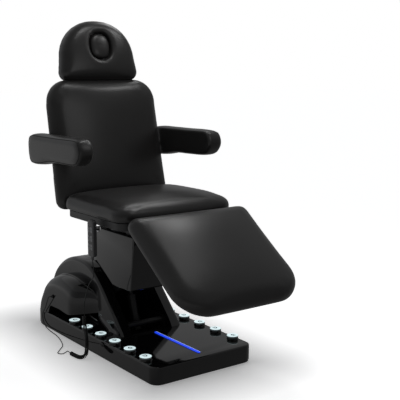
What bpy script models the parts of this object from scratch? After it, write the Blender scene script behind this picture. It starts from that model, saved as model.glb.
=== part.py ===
"""Facial treatment bed: a powered chair on a heavy base with foot buttons, a parallel-arm lift,
a reclining back with levelled armrests, a head pad with a face hole, a leg rest and a handset.

Lengths are in metres. X points to the foot end, -Y is the sitter's right, Z is up.
The origin is the centre of the base's underside, on the floor.
"""
import math

import bmesh
import bpy
from mathutils import Matrix, Vector

# General fits
GAP = 0.0003
RUN = 0.0005
ROUND = 12

# Base
BASE_LENGTH = 1.13
BASE_WIDTH = 0.53
BASE_FRONT_R = 0.045
BASE_REAR_R = 0.10
PAN_T = 0.012
PAN_INSET = 0.003
DECK_Z = 0.081
DECK_EDGE_R = 0.009
DECK_WALL = 0.0045
STRIP_START = 0.175
STRIP_END = BASE_LENGTH / 2 - 0.045
STRIP_W = 0.013
STRIP_H = 0.004

# Foot buttons
BUTTON_COUNT = 6
BUTTON_PITCH = 0.125
BUTTON_FRONT = 0.1105
BUTTON_FIRST_X = BASE_LENGTH / 2 - BUTTON_FRONT
BUTTON_MARGIN = 0.0295
BUTTON_Y = BASE_WIDTH / 2 - BUTTON_MARGIN
BUTTON_R = 0.0245
BUTTON_TOP = 0.0985
BUTTON_SKIRT = 0.016
BOSS_WALL = 0.0015
BOSS_H = 0.0095

# Rear housing
SLOT_HALF = 0.110
SHELL_HALF = 0.166
SHELL_EDGE_R = 0.020
SHELL_WALL = 0.006
HOUSING_REAR = -0.563
HOUSING_TOP = 0.374
HOUSING_FOOT = 0.154
TOP_COVER_END = -0.190
TOP_COVER_T = 0.006
FENDER_MARGIN = 0.003
FENDER_HALF = BASE_WIDTH / 2 - FENDER_MARGIN
FENDER_DEPTH = 0.066
FENDER_LIP = FENDER_HALF - FENDER_DEPTH
FENDER_WALL = FENDER_LIP + 0.009
GROMMET_X = -0.345
GROMMET_Z = 0.178
GROMMET_R = 0.0085

# Lift: parallel arms between the base and the carrier
ARM_ANGLE = math.radians(26.7)
ARM_LENGTH = 0.50
ARM_TOP = (0.170, 0.465)
LINK_OFFSET = (0.030, -0.085)
ARM_BAR_Y = 0.0845
ARM_BAR_T = 0.016
ARM_BAR_H = 0.050
ARM_COVER_HALF = 0.1038
ARM_COVER_WALL = 0.003
ARM_COVER_START = 0.165
ARM_COVER_END = ARM_LENGTH - 0.060
ARM_COVER_UP = 0.046
ARM_COVER_DOWN = 0.117
LINK_BAR_Y = 0.052
LINK_BAR_T = 0.010
LINK_BAR_H = 0.028
LINK_PIN_R = 0.008
PIN_R = 0.010
PLATE_Y = 0.1015
PLATE_T = 0.006
LIFT_EYE_ALONG = 0.220
LIFT_EYE_DOWN = 0.036
LIFT_ACTUATOR_L = 0.262
CROSS_TUBE_AHEAD = 0.3547
CROSS_TUBE_Z = 0.105

# Actuators
TUBE_R = 0.022
ROD_R = 0.011
EYE_R = 0.015
EYE_HALF = 0.011
FORK_GAP = 0.0125
FORK_T = 0.006
BORE_START = 0.012
LIFT_ROD_HELD = 0.075

# Carrier
CARRIER_HALF = 0.190
CARRIER_WALL = 0.004
CARRIER_TOP = 0.572
CARRIER_BOTTOM = 0.325
CARRIER_FRONT_TOP = 0.298
CARRIER_FRONT_BOTTOM = 0.270
CARRIER_REAR = -0.040
CARRIER_REAR_DROP = 0.160

# Seat
SEAT_REAR = -0.122
SEAT_FRONT = 0.379
SEAT_HALF = 0.300
SEAT_BOTTOM = 0.652
SEAT_THICK = 0.065
SEAT_CROWN = 0.022
TRAY_REAR = -0.110
TRAY_FRONT = 0.362
TRAY_HALF = 0.292
TRAY_T = 0.034
RAIL_Y = 0.150
RAIL_W = 0.020
RAIL_BOTTOM = 0.578

# Back
BACK_PIVOT = (-0.170, 0.668)
BACK_LEAN = math.radians(11.5)
BACK_HALF = 0.301
BACK_TAPER = 0.008
BACK_LOW = -0.028
BACK_HIGH = 0.580
BACK_REAR = -0.036
BACK_THICK = 0.058
BACK_CROWN = 0.020
BACK_CRANK = 0.110
BACK_SWING = math.radians(78.5)
BACK_ROD_Y = -0.058

# Head pad
HEAD_GAP = 0.006
HEAD_LENGTH = 0.282
HEAD_HALF = 0.202
HEAD_TAPER = 0.010
HEAD_REAR = BACK_REAR - 0.003
HEAD_THICK = 0.065
HEAD_CROWN = 0.020
HEAD_POST_X = -0.0493
HEAD_POST_Y = 0.090
HEAD_POST_R = 0.006
HOLE_UP = 0.151
HOLE_HALF_W = 0.056
HOLE_HALF_H = 0.067

# Leg rest
LEG_PIVOT = (0.420, 0.612)
LEG_DROP = math.radians(35.5)
LEG_REAR = -0.033
LEG_LENGTH = 0.529
LEG_HALF = 0.301
LEG_BOTTOM = 0.035
LEG_THICK = 0.050
LEG_CROWN = 0.024
LEG_CRANK = 0.070
LEG_CRANK_TURN = math.radians(14.5)
LEG_ROD_Y = 0.058

# Armrests
ARMREST_Y = 0.307
ARMREST_W = 0.080
ARMREST_LENGTH = 0.501
ARMREST_H = 0.130
ARMREST_PIVOT_UP = 0.262
ARMREST_PIVOT_BACK = -0.052
ARMREST_REAR = 0.046
ARMREST_LOW = -0.051
BUSH_R = 0.014

# Handset and its cord
HANDSET_X = 0.177
HANDSET_Y = -0.3255
HANDSET_W = 0.051
HANDSET_T = 0.020
HANDSET_TOP = 0.648
HANDSET_BOTTOM = 0.486
CORD_R = 0.0021
COIL_MEAN_R = 0.0066
COIL_CURLS = 32
COIL_POINTS = 8


def clear_scene():
    for old in list(bpy.data.objects):
        bpy.data.objects.remove(old, do_unlink=True)


def material(name, rgb, roughness, metallic=0.0):
    mat = bpy.data.materials.get(name)
    if mat is None:
        mat = bpy.data.materials.new(name)
        mat.use_nodes = True
        shader = mat.node_tree.nodes["Principled BSDF"]
        shader.inputs["Base Color"].default_value = (*rgb, 1.0)
        shader.inputs["Roughness"].default_value = roughness
        shader.inputs["Metallic"].default_value = metallic
        mat.diffuse_color = (*rgb, 1.0)
    return mat


def finish():
    """The named looks of the object."""
    looks = {
        "gloss_black": ((0.020, 0.020, 0.021), 0.22, 0.0),
        "matte_black": ((0.015, 0.015, 0.016), 0.55, 0.0),
        "hide_black": ((0.018, 0.017, 0.017), 0.48, 0.0),
        "steel_black": ((0.025, 0.025, 0.027), 0.45, 0.3),
        "steel_bright": ((0.60, 0.60, 0.62), 0.30, 1.0),
        "grey_plastic": ((0.17, 0.17, 0.18), 0.45, 0.0),
        "lens_cyan": ((0.70, 0.90, 0.93), 0.30, 0.0),
        "lens_blue": ((0.08, 0.32, 0.85), 0.30, 0.0),
        "rubber_black": ((0.012, 0.012, 0.012), 0.60, 0.0),
        "key_pale": ((0.55, 0.56, 0.57), 0.40, 0.0),
    }
    return {name: material(name, *look) for name, look in looks.items()}


def empty(name, place, turn=0.0):
    """A pivot frame at a joint, turned about the Y axis."""
    frame = bpy.data.objects.new(name, None)
    frame.empty_display_size = 0.05
    frame.location = place
    frame.rotation_euler = (0.0, turn, 0.0)
    bpy.context.scene.collection.objects.link(frame)
    return frame


def put(name, bm, look=None, parent=None):
    """Makes one object of a bmesh, in its parent's frame."""
    bmesh.ops.recalc_face_normals(bm, faces=bm.faces)
    mesh = bpy.data.meshes.new(name)
    bm.to_mesh(mesh)
    bm.free()
    part = bpy.data.objects.new(name, mesh)
    bpy.context.scene.collection.objects.link(part)
    if look is not None:
        mesh.materials.append(look)
    if parent is not None:
        part.parent = parent
    return part


def arc(centre, radius, start, end, steps):
    """Points of an arc in a plane, both ends included, angles in degrees."""
    points = []
    for i in range(steps + 1):
        a = math.radians(start + (end - start) * i / steps)
        points.append((centre[0] + radius * math.cos(a), centre[1] + radius * math.sin(a)))
    return points


def smooth(points, steps, closed=False):
    """A smooth line through control points of any dimension."""
    pts = [Vector(p) for p in points]
    count = len(pts)
    out = []
    spans = count if closed else count - 1
    for i in range(spans):
        if closed:
            a, b, c, d = (pts[(i + k) % count] for k in (-1, 0, 1, 2))
        else:
            a, b = pts[max(i - 1, 0)], pts[i]
            c, d = pts[i + 1], pts[min(i + 2, count - 1)]
        for k in range(steps):
            t = k / steps
            out.append(0.5 * ((2 * b) + (c - a) * t + (2 * a - 5 * b + 4 * c - d) * t * t
                              + (3 * b - 3 * c + d - a) * t ** 3))
    if not closed:
        out.append(pts[-1])
    return out


def inset(outline, amount):
    """A closed outline moved inwards along its corner directions."""
    pts = [Vector(p[:2]) for p in outline]
    turn = sum(a.x * b.y - b.x * a.y for a, b in zip(pts, pts[1:] + pts[:1]))
    side = 1.0 if turn > 0 else -1.0
    moved = []
    for i, p in enumerate(pts):
        e1 = (p - pts[i - 1]).normalized()
        e2 = (pts[(i + 1) % len(pts)] - p).normalized()
        n1 = Vector((-e1.y, e1.x)) * side
        n2 = Vector((-e2.y, e2.x)) * side
        n = (n1 + n2).normalized()
        moved.append(p + n * (amount / max(n.dot(n1), 0.5)))
    return [(p.x, p.y) for p in moved]


def loft(rings):
    """A closed body through rings of equal counts, both ends capped."""
    bm = bmesh.new()
    rows = [[bm.verts.new(p) for p in ring] for ring in rings]
    for low, high in zip(rows, rows[1:]):
        for i in range(len(low)):
            j = (i + 1) % len(low)
            bm.faces.new((low[i], low[j], high[j], high[i]))
    bm.faces.new(list(reversed(rows[0])))
    bm.faces.new(rows[-1])
    return bm


def slab(outline, low, high):
    """An outline in X and Z, drawn out along Y."""
    return loft([[(x, y, z) for x, z in outline] for y in (low, high)])


def plate(outline, low, high):
    """An outline in X and Y, drawn out along Z."""
    return loft([[(x, y, z) for x, y in outline] for z in (low, high)])


def box(low, high):
    return plate([(low[0], low[1]), (high[0], low[1]), (high[0], high[1]), (low[0], high[1])],
                 low[2], high[2])


def rod(start, end, radius, sides=ROUND, second=None):
    """A round bar between two points, or a cone when a second radius is given."""
    start, end = Vector(start), Vector(end)
    along = (end - start).normalized()
    across = along.orthogonal().normalized()
    if abs(along.y) > 0.99:
        across = Vector((1.0, 0.0, 0.0))
    if abs(along.y) < 0.01:
        across = Vector((0.0, 1.0, 0.0))
    other = along.cross(across)
    rings = []
    for centre, r in ((start, radius), (end, radius if second is None else second)):
        ring = []
        for i in range(sides):
            a = 2 * math.pi * (i + 0.5) / sides
            ring.append(centre + across * (r * math.cos(a)) + other * (r * math.sin(a)))
        rings.append(ring)
    return loft(rings)


def disc_stack(centre, steps, sides=16):
    """A turned body about Z: (radius, height) pairs from low to high."""
    rings = []
    for r, h in steps:
        rings.append([(centre[0] + r * math.cos(2 * math.pi * i / sides),
                       centre[1] + r * math.sin(2 * math.pi * i / sides), h) for i in range(sides)])
    return loft(rings)


def gather(pieces):
    """Several bodies that don't touch in one bmesh."""
    whole = bmesh.new()
    for piece in pieces:
        mesh = bpy.data.meshes.new("gathered")
        piece.to_mesh(mesh)
        piece.free()
        whole.from_mesh(mesh)
        bpy.data.meshes.remove(mesh)
    return whole


def combine(part, bodies, how):
    """Joins bodies to a part, or cuts them from it."""
    for body in bodies:
        tool = put(part.name + "_tool", body)
        tool.parent = part.parent
        mod = part.modifiers.new("combine", "BOOLEAN")
        mod.operation = how
        mod.solver = "EXACT"
        mod.object = tool
        bpy.context.view_layer.update()
        graph = bpy.context.evaluated_depsgraph_get()
        made = bpy.data.meshes.new_from_object(part.evaluated_get(graph))
        part.modifiers.clear()
        old = part.data
        part.data = made
        bpy.data.meshes.remove(old)
        made.name = part.name
        bpy.data.objects.remove(tool, do_unlink=True)
    return part


def join(part, *bodies):
    return combine(part, bodies, "UNION")


def cut(part, *bodies):
    return combine(part, bodies, "DIFFERENCE")


def tidy(part, limit=0.0001):
    """Clears the loose edges that joins leave on flat faces."""
    bm = bmesh.new()
    bm.from_mesh(part.data)
    bmesh.ops.remove_doubles(bm, verts=bm.verts, dist=limit)
    bmesh.ops.dissolve_degenerate(bm, dist=limit, edges=bm.edges)
    bmesh.ops.dissolve_limit(bm, angle_limit=math.radians(0.5), verts=bm.verts, edges=bm.edges)
    bm.to_mesh(part.data)
    bm.free()
    return part


def corner_ring(x0, x1, half, radii, pull=0.0, steps=4, mids=2, taper=0.0):
    """A rounded four-sided ring in X and Y.

    radii holds the corner radius at the x0 end and at the x1 end; pull draws the sides in
    between the corners; taper narrows each side at the x1 end.
    """
    r0, r1 = radii
    end = half - taper
    corners = (((x0 + r0, -half + r0), r0, 180), ((x1 - r1, -end + r1), r1, 270),
               ((x1 - r1, end - r1), r1, 0), ((x0 + r0, half - r0), r0, 90))
    ring = []
    for k, (centre, r, start) in enumerate(corners):
        ring += arc(centre, r, start, start + 90, steps)
        after, r2, start2 = corners[(k + 1) % 4]
        a = Vector(ring[-1])
        b = Vector(arc(after, r2, start2, start2 + 90, 1)[0])
        side = (b - a)
        inward = Vector((-side.y, side.x)).normalized() if side.length > 1e-6 else Vector((0.0, 0.0))
        for m in range(1, mids + 1):
            u = m / (mids + 1)
            ring.append(tuple(a + side * u + inward * (pull * math.sin(math.pi * u))))
    return ring


def pad(x0, x1, half, thick, crown, radii, edge=0.020, pull=0.004, low_edge=0.010, rows=4, taper=0.0):
    """An upholstered pad from z = 0: rounded lower edge, drawn-in sides, soft upper edge, crown."""
    def ring(step, z, draw=0.0):
        shrunk = [min(max(r - step, 0.012), 0.96 * (half - step)) for r in radii]
        ease = min(1.0, 0.96 * (x1 - x0 - 2 * step) / sum(shrunk))
        shrunk = [r * ease for r in shrunk]
        narrow = taper * (1 - step / half)
        flat = corner_ring(x0 + step, x1 - step, half - step, shrunk, pull + draw, taper=narrow)
        return [(x, y, z) for x, y in flat]

    rings = [ring(low_edge, 0.0), ring(low_edge * 0.3, low_edge * 0.3), ring(0.0, low_edge)]
    waist = 0.5 * (low_edge + thick - edge * 0.5)
    rings.append(ring(0.0015, waist, 0.002))
    for i in range(4):
        a = math.radians(30 * i)
        rings.append(ring(edge * (1 - math.cos(a)), thick - edge * 0.6 * (1 - math.sin(a))))
    reach = min(half, 0.5 * (x1 - x0)) - edge
    for i in range(1, rows + 1):
        u = i / rows
        step = edge + reach * 0.86 * u
        rings.append(ring(step, thick + crown * (1 - (1 - u) ** 2)))
    return loft(rings)


def stand(bm):
    """Turns a pad from lying along X to standing along Z, its crown towards +X."""
    bm.transform(Matrix(((0, 0, 1, 0), (0, 1, 0, 0), (1, 0, 0, 0), (0, 0, 0, 1))))
    bmesh.ops.reverse_faces(bm, faces=bm.faces)
    return bm


def tube(name, points, radius, look, bevel, parent=None):
    """A round cord along a line of points, both ends closed."""
    line = bpy.data.curves.new(name, "CURVE")
    line.dimensions = "3D"
    line.bevel_depth = radius
    line.bevel_resolution = bevel
    line.use_fill_caps = True
    spline = line.splines.new("POLY")
    spline.points.add(len(points) - 1)
    for spot, p in zip(spline.points, points):
        spot.co = (*p, 1.0)
    part = bpy.data.objects.new(name, line)
    line.materials.append(look)
    bpy.context.scene.collection.objects.link(part)
    if parent is not None:
        part.parent = parent
    return part


def even(points, spacing):
    """The same line with points at even distances."""
    pts = [Vector(p) for p in points]
    lengths = [0.0]
    for a, b in zip(pts, pts[1:]):
        lengths.append(lengths[-1] + (b - a).length)
    count = max(int(round(lengths[-1] / spacing)), 2)
    out = []
    k = 0
    for i in range(count + 1):
        want = lengths[-1] * i / count
        while k < len(pts) - 2 and lengths[k + 1] < want:
            k += 1
        u = (want - lengths[k]) / max(lengths[k + 1] - lengths[k], 1e-9)
        out.append(pts[k].lerp(pts[k + 1], min(max(u, 0.0), 1.0)))
    return out


def along(point, angle, distance, down=0.0):
    """A point in X and Z at a distance along a direction and below it."""
    return (point[0] + distance * math.cos(angle) + down * math.sin(angle),
            point[1] + distance * math.sin(angle) - down * math.cos(angle))


def bar_outline(a, b, height, extra):
    """A round-ended bar outline in X and Z between two pivots."""
    angle = math.degrees(math.atan2(b[1] - a[1], b[0] - a[0]))
    r = height / 2 + extra
    return arc(a, r, angle + 90, angle + 270, 6) + arc(b, r, angle - 90, angle + 90, 6)


# Points that several pieces share
ARM_BASE = along(ARM_TOP, ARM_ANGLE, -ARM_LENGTH)
CROSS_TUBE = (ARM_BASE[0] + CROSS_TUBE_AHEAD, CROSS_TUBE_Z)
LINK_BASE = (ARM_BASE[0] + LINK_OFFSET[0], ARM_BASE[1] + LINK_OFFSET[1])
LINK_TOP = (ARM_TOP[0] + LINK_OFFSET[0], ARM_TOP[1] + LINK_OFFSET[1])
LIFT_EYE = along(ARM_BASE, ARM_ANGLE, LIFT_EYE_ALONG, LIFT_EYE_DOWN)
LIFT_REACH = math.hypot(LIFT_EYE[0] - ARM_BASE[0], LIFT_EYE[1] - ARM_BASE[1])
LIFT_DIR = ((LIFT_EYE[1] - ARM_BASE[1]) / LIFT_REACH, -(LIFT_EYE[0] - ARM_BASE[0]) / LIFT_REACH)
LIFT_FOOT = (LIFT_EYE[0] + LIFT_DIR[0] * LIFT_ACTUATOR_L, LIFT_EYE[1] + LIFT_DIR[1] * LIFT_ACTUATOR_L)
BACK_EYE = (BACK_PIVOT[0] - BACK_CRANK * math.sin(BACK_SWING / 2),
            BACK_PIVOT[1] - BACK_CRANK * math.cos(BACK_SWING / 2))
BACK_ROD_Z = BACK_EYE[1] - 0.5 * BACK_CRANK * (1 - math.cos(BACK_SWING / 2))
LEG_EYE = (LEG_PIVOT[0] - LEG_CRANK * math.sin(LEG_CRANK_TURN), LEG_PIVOT[1] - LEG_CRANK)


def base_ring(step, z, steps=5):
    ring = corner_ring(-BASE_LENGTH / 2 + step, BASE_LENGTH / 2 - step, BASE_WIDTH / 2 - step,
                       (BASE_REAR_R - step, BASE_FRONT_R - step), 0.0, steps, 0)
    return [(x, y, z) for x, y in ring]


def button_spots():
    for side, label in ((-1, "right"), (1, "left")):
        for k in range(BUTTON_COUNT):
            yield label, k + 1, (BUTTON_FIRST_X - k * BUTTON_PITCH, side * BUTTON_Y)


def build_base(look):
    put("base_pan", loft([base_ring(PAN_INSET + 0.003, 0.0), base_ring(PAN_INSET, 0.003),
                          base_ring(PAN_INSET, PAN_T)]), look["steel_black"])

    low = PAN_T + GAP
    rings = [base_ring(0.0, low), base_ring(0.0, DECK_Z - DECK_EDGE_R)]
    for i in range(1, 4):
        a = math.radians(30 * i)
        rings.append(base_ring(DECK_EDGE_R * (1 - math.cos(a)), DECK_Z - DECK_EDGE_R * (1 - math.sin(a))))
    deck = put("deck_cover", loft(rings), look["gloss_black"])
    outer = BUTTON_R + RUN + BOSS_WALL
    bosses = [disc_stack(spot, ((outer + 0.001, DECK_Z - 0.002), (outer - 0.001, DECK_Z + BOSS_H)))
              for _, _, spot in button_spots()]
    join(deck, gather(bosses))
    cut(deck, loft([base_ring(DECK_WALL, low - 0.01), base_ring(DECK_WALL, DECK_Z - DECK_WALL)]))
    bores = [disc_stack(spot, ((BUTTON_R + RUN, DECK_Z - 0.02), (BUTTON_R + RUN, DECK_Z + 0.02)))
             for _, _, spot in button_spots()]
    bores.append(box((-0.50, -SLOT_HALF, DECK_Z - 0.03), (0.12, SLOT_HALF, DECK_Z + 0.03)))
    cut(deck, gather(bores))
    tidy(deck)

    half = STRIP_W / 2
    put("light_strip", loft([corner_z(STRIP_START, STRIP_END, half, DECK_Z + GAP),
                             corner_z(STRIP_START, STRIP_END, half, DECK_Z + GAP + STRIP_H - 0.0015),
                             corner_z(STRIP_START + 0.0015, STRIP_END - 0.0015, half - 0.0015,
                                      DECK_Z + GAP + STRIP_H)]), look["lens_blue"])

    for label, number, spot in button_spots():
        hub = empty(f"pivot_foot_button_{label}_{number}", (*spot, BUTTON_TOP))
        steps = ((BUTTON_R, -BUTTON_SKIRT), (BUTTON_R, -0.0015), (BUTTON_R - 0.0015, 0.0))
        put(f"foot_button_{label}_{number}", disc_stack((0.0, 0.0), steps), look["lens_cyan"], hub)


def corner_z(x0, x1, half, z):
    return [(x, y, z) for x, y in corner_ring(x0, x1, half, (half * 0.98, half * 0.98), 0.0, 3, 0)]


def housing_outline():
    """The housing's side outline, from the rear foot over the top to the front foot."""
    low = DECK_Z + GAP
    rear = HOUSING_REAR
    top = HOUSING_TOP
    upper = smooth(((rear + 0.001, low), (rear - 0.001, 0.125), (rear + 0.014, 0.192),
                    (rear + 0.058, 0.268), (rear + 0.140, top - 0.042), (rear + 0.225, top - 0.008),
                    (rear + 0.300, top), (TOP_COVER_END, top - 0.004), (-0.140, top - 0.020),
                    (-0.096, 0.328), (-0.030, 0.272)), 2)
    return [(p.x, p.y) for p in upper] + [(HOUSING_FOOT - 0.010, 0.098), (HOUSING_FOOT, low)]


def fender_outline(scale, tuck=0.0):
    """The side bulge's outline, shrunk towards its lower rear and tucked in at the rear corner."""
    low = DECK_Z + GAP
    centre = Vector((-0.400, low))
    upper = smooth(((HOUSING_REAR + 0.004, low), (HOUSING_REAR + 0.024, 0.125), (-0.494, 0.180),
                    (-0.448, 0.232), (-0.386, 0.272), (-0.300, 0.294), (-0.190, 0.290), (-0.105, 0.256),
                    (-0.058, 0.205), (-0.040, 0.150)), 2)
    pts = [Vector(p) for p in upper]
    lower = [Vector(p) for p in ((-0.100, 0.150), (-0.190, 0.158), (-0.290, 0.156), (-0.360, 0.148))]
    foot = [Vector((-0.395, low + 0.004)), Vector((-0.400, low))]
    ring = pts + lower + foot
    out = []
    for p in ring:
        q = centre + (p - centre) * scale
        if p.x < centre.x:
            q.x += tuck * ((centre.x - p.x) / (centre.x - HOUSING_REAR)) ** 2
        out.append((q.x, max(q.y, low)))
    return out


def centre_to_rear(scale):
    """The bulge's reach behind the point it shrinks to."""
    return (-0.400 - HOUSING_REAR) * scale


def drawn_in(outline, step):
    """An outline on the deck, shrunk evenly towards the middle of its foot."""
    low = DECK_Z + GAP
    middle = 0.5 * (min(p[0] for p in outline) + max(p[0] for p in outline))
    across = 1 - step / (max(p[0] for p in outline) - middle)
    up = 1 - step / (max(p[1] for p in outline) - low)
    return [(middle + (x - middle) * across, low + (z - low) * up) for x, z in outline]


def build_housing(look):
    outline = housing_outline()
    low = DECK_Z + GAP
    for side, label in ((-1, "right"), (1, "left")):
        rings = []
        for y, step in ((SLOT_HALF, 0.0), (SHELL_HALF - SHELL_EDGE_R, 0.0),
                        (SHELL_HALF - 0.5 * SHELL_EDGE_R, 0.0030),
                        (SHELL_HALF - 0.13 * SHELL_EDGE_R, 0.0095), (SHELL_HALF, SHELL_EDGE_R)):
            rings.append([(x, side * y, z) for x, z in drawn_in(outline, step)])
        shell = put(f"housing_shell_{label}", loft(rings), look["gloss_black"])

        wall = [(x, z) for x, z in fender_outline(1.0)[:19]]
        wall += [(-0.052, low), (-0.20, low), (-0.40, low)]
        join(shell, loft([[(x, side * y, z) for x, z in drawn_in(wall, step)]
                          for y, step in ((SHELL_HALF - 0.03, 0.0), (FENDER_LIP, 0.0),
                                          (FENDER_WALL - 0.002, 0.003))]))
        bulge = []
        for y, scale in ((FENDER_LIP - 0.008, 0.985), (FENDER_LIP + 0.020, 0.965),
                         (FENDER_LIP + 0.042, 0.915), (FENDER_HALF - 0.009, 0.830),
                         (FENDER_HALF - 0.002, 0.720), (FENDER_HALF, 0.600)):
            over = max(y - (BASE_WIDTH / 2 - BASE_REAR_R), 0.0)
            tuck = BASE_REAR_R - math.sqrt(max(BASE_REAR_R ** 2 - over ** 2, 0.0))
            shift = centre_to_rear(1.0) - centre_to_rear(scale)
            bulge.append([(x, side * y, z) for x, z in fender_outline(scale, max(tuck - shift, 0.0))])
        join(shell, loft(bulge))
        hollow = [(x, z if z > low + 0.001 else low - 0.02) for x, z in drawn_in(outline, SHELL_WALL)]
        ys = sorted((side * (SLOT_HALF + SHELL_WALL), side * (SHELL_HALF - SHELL_WALL)))
        cut(shell, slab(hollow, *ys))
        if side < 0:
            cut(shell, rod((GROMMET_X, -FENDER_WALL + 0.06, GROMMET_Z),
                           (GROMMET_X, -FENDER_HALF - 0.01, GROMMET_Z), GROMMET_R * 0.62 + GAP, 12))
        tidy(shell)

    over = [p for p in outline if p[0] <= TOP_COVER_END + 0.001]
    under = inset(outline, TOP_COVER_T)[:len(over)]
    skin = over + [(x, max(z, low)) for x, z in reversed(under)]
    put("housing_top_cover", slab(skin, -SLOT_HALF + GAP, SLOT_HALF - GAP), look["gloss_black"])

    y = -FENDER_HALF + 0.012
    collar = put("cord_grommet", rod((GROMMET_X, y + 0.030, GROMMET_Z), (GROMMET_X, y - 0.018, GROMMET_Z),
                                     GROMMET_R * 0.62, 12), look["rubber_black"])
    join(collar, rod((GROMMET_X, y - 0.0125, GROMMET_Z), (GROMMET_X, y - 0.018, GROMMET_Z), GROMMET_R, 12))
    cut(collar, rod((GROMMET_X, y + 0.02, GROMMET_Z), (GROMMET_X, y - 0.03, GROMMET_Z), CORD_R + GAP, 8))
    tidy(collar)

    put("control_box", box((-0.490, -0.085, PAN_T + GAP), (-0.375, 0.085, 0.150)), look["grey_plastic"])


def fork(place, parent_point, y, reach):
    """Two cheeks about an actuator eye, hung from a cross tube."""
    cheeks = []
    for side in (-1, 1):
        near = y + side * FORK_GAP
        far = near + side * FORK_T
        outline = bar_outline(place, parent_point, 2 * reach, 0.0)
        cheeks.append(slab(outline, min(near, far), max(near, far)))
    return cheeks


def actuator(name, foot, head, y, look, parent, length, lug=None):
    """A cylinder with a blind bore towards its head end, and a gear housing at its foot."""
    a = Vector((foot[0], y, foot[1]))
    b = Vector((head[0], y, head[1]))
    way = (b - a).normalized()
    mouth = a + way * length
    body = put(name, rod(a, mouth, TUBE_R), look["matte_black"], parent)
    join(body, rod(a - way * 0.004, a + way * 0.055, TUBE_R + 0.004))
    if lug is not None:
        join(body, lug)
    cut(body, rod(a + way * BORE_START, mouth + way * 0.02, ROD_R + RUN))
    return tidy(body), mouth, way


def piston(name, eye, start, y, look, parent):
    """A rod with a round eye at its outer end."""
    e = Vector((eye[0], y, eye[1]))
    s = Vector((start[0], y, start[2]))
    bar = put(name, rod(s, e, ROD_R), look["steel_bright"], parent)
    join(bar, rod((e.x, y - EYE_HALF, e.z), (e.x, y + EYE_HALF, e.z), EYE_R))
    return tidy(bar)


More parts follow.
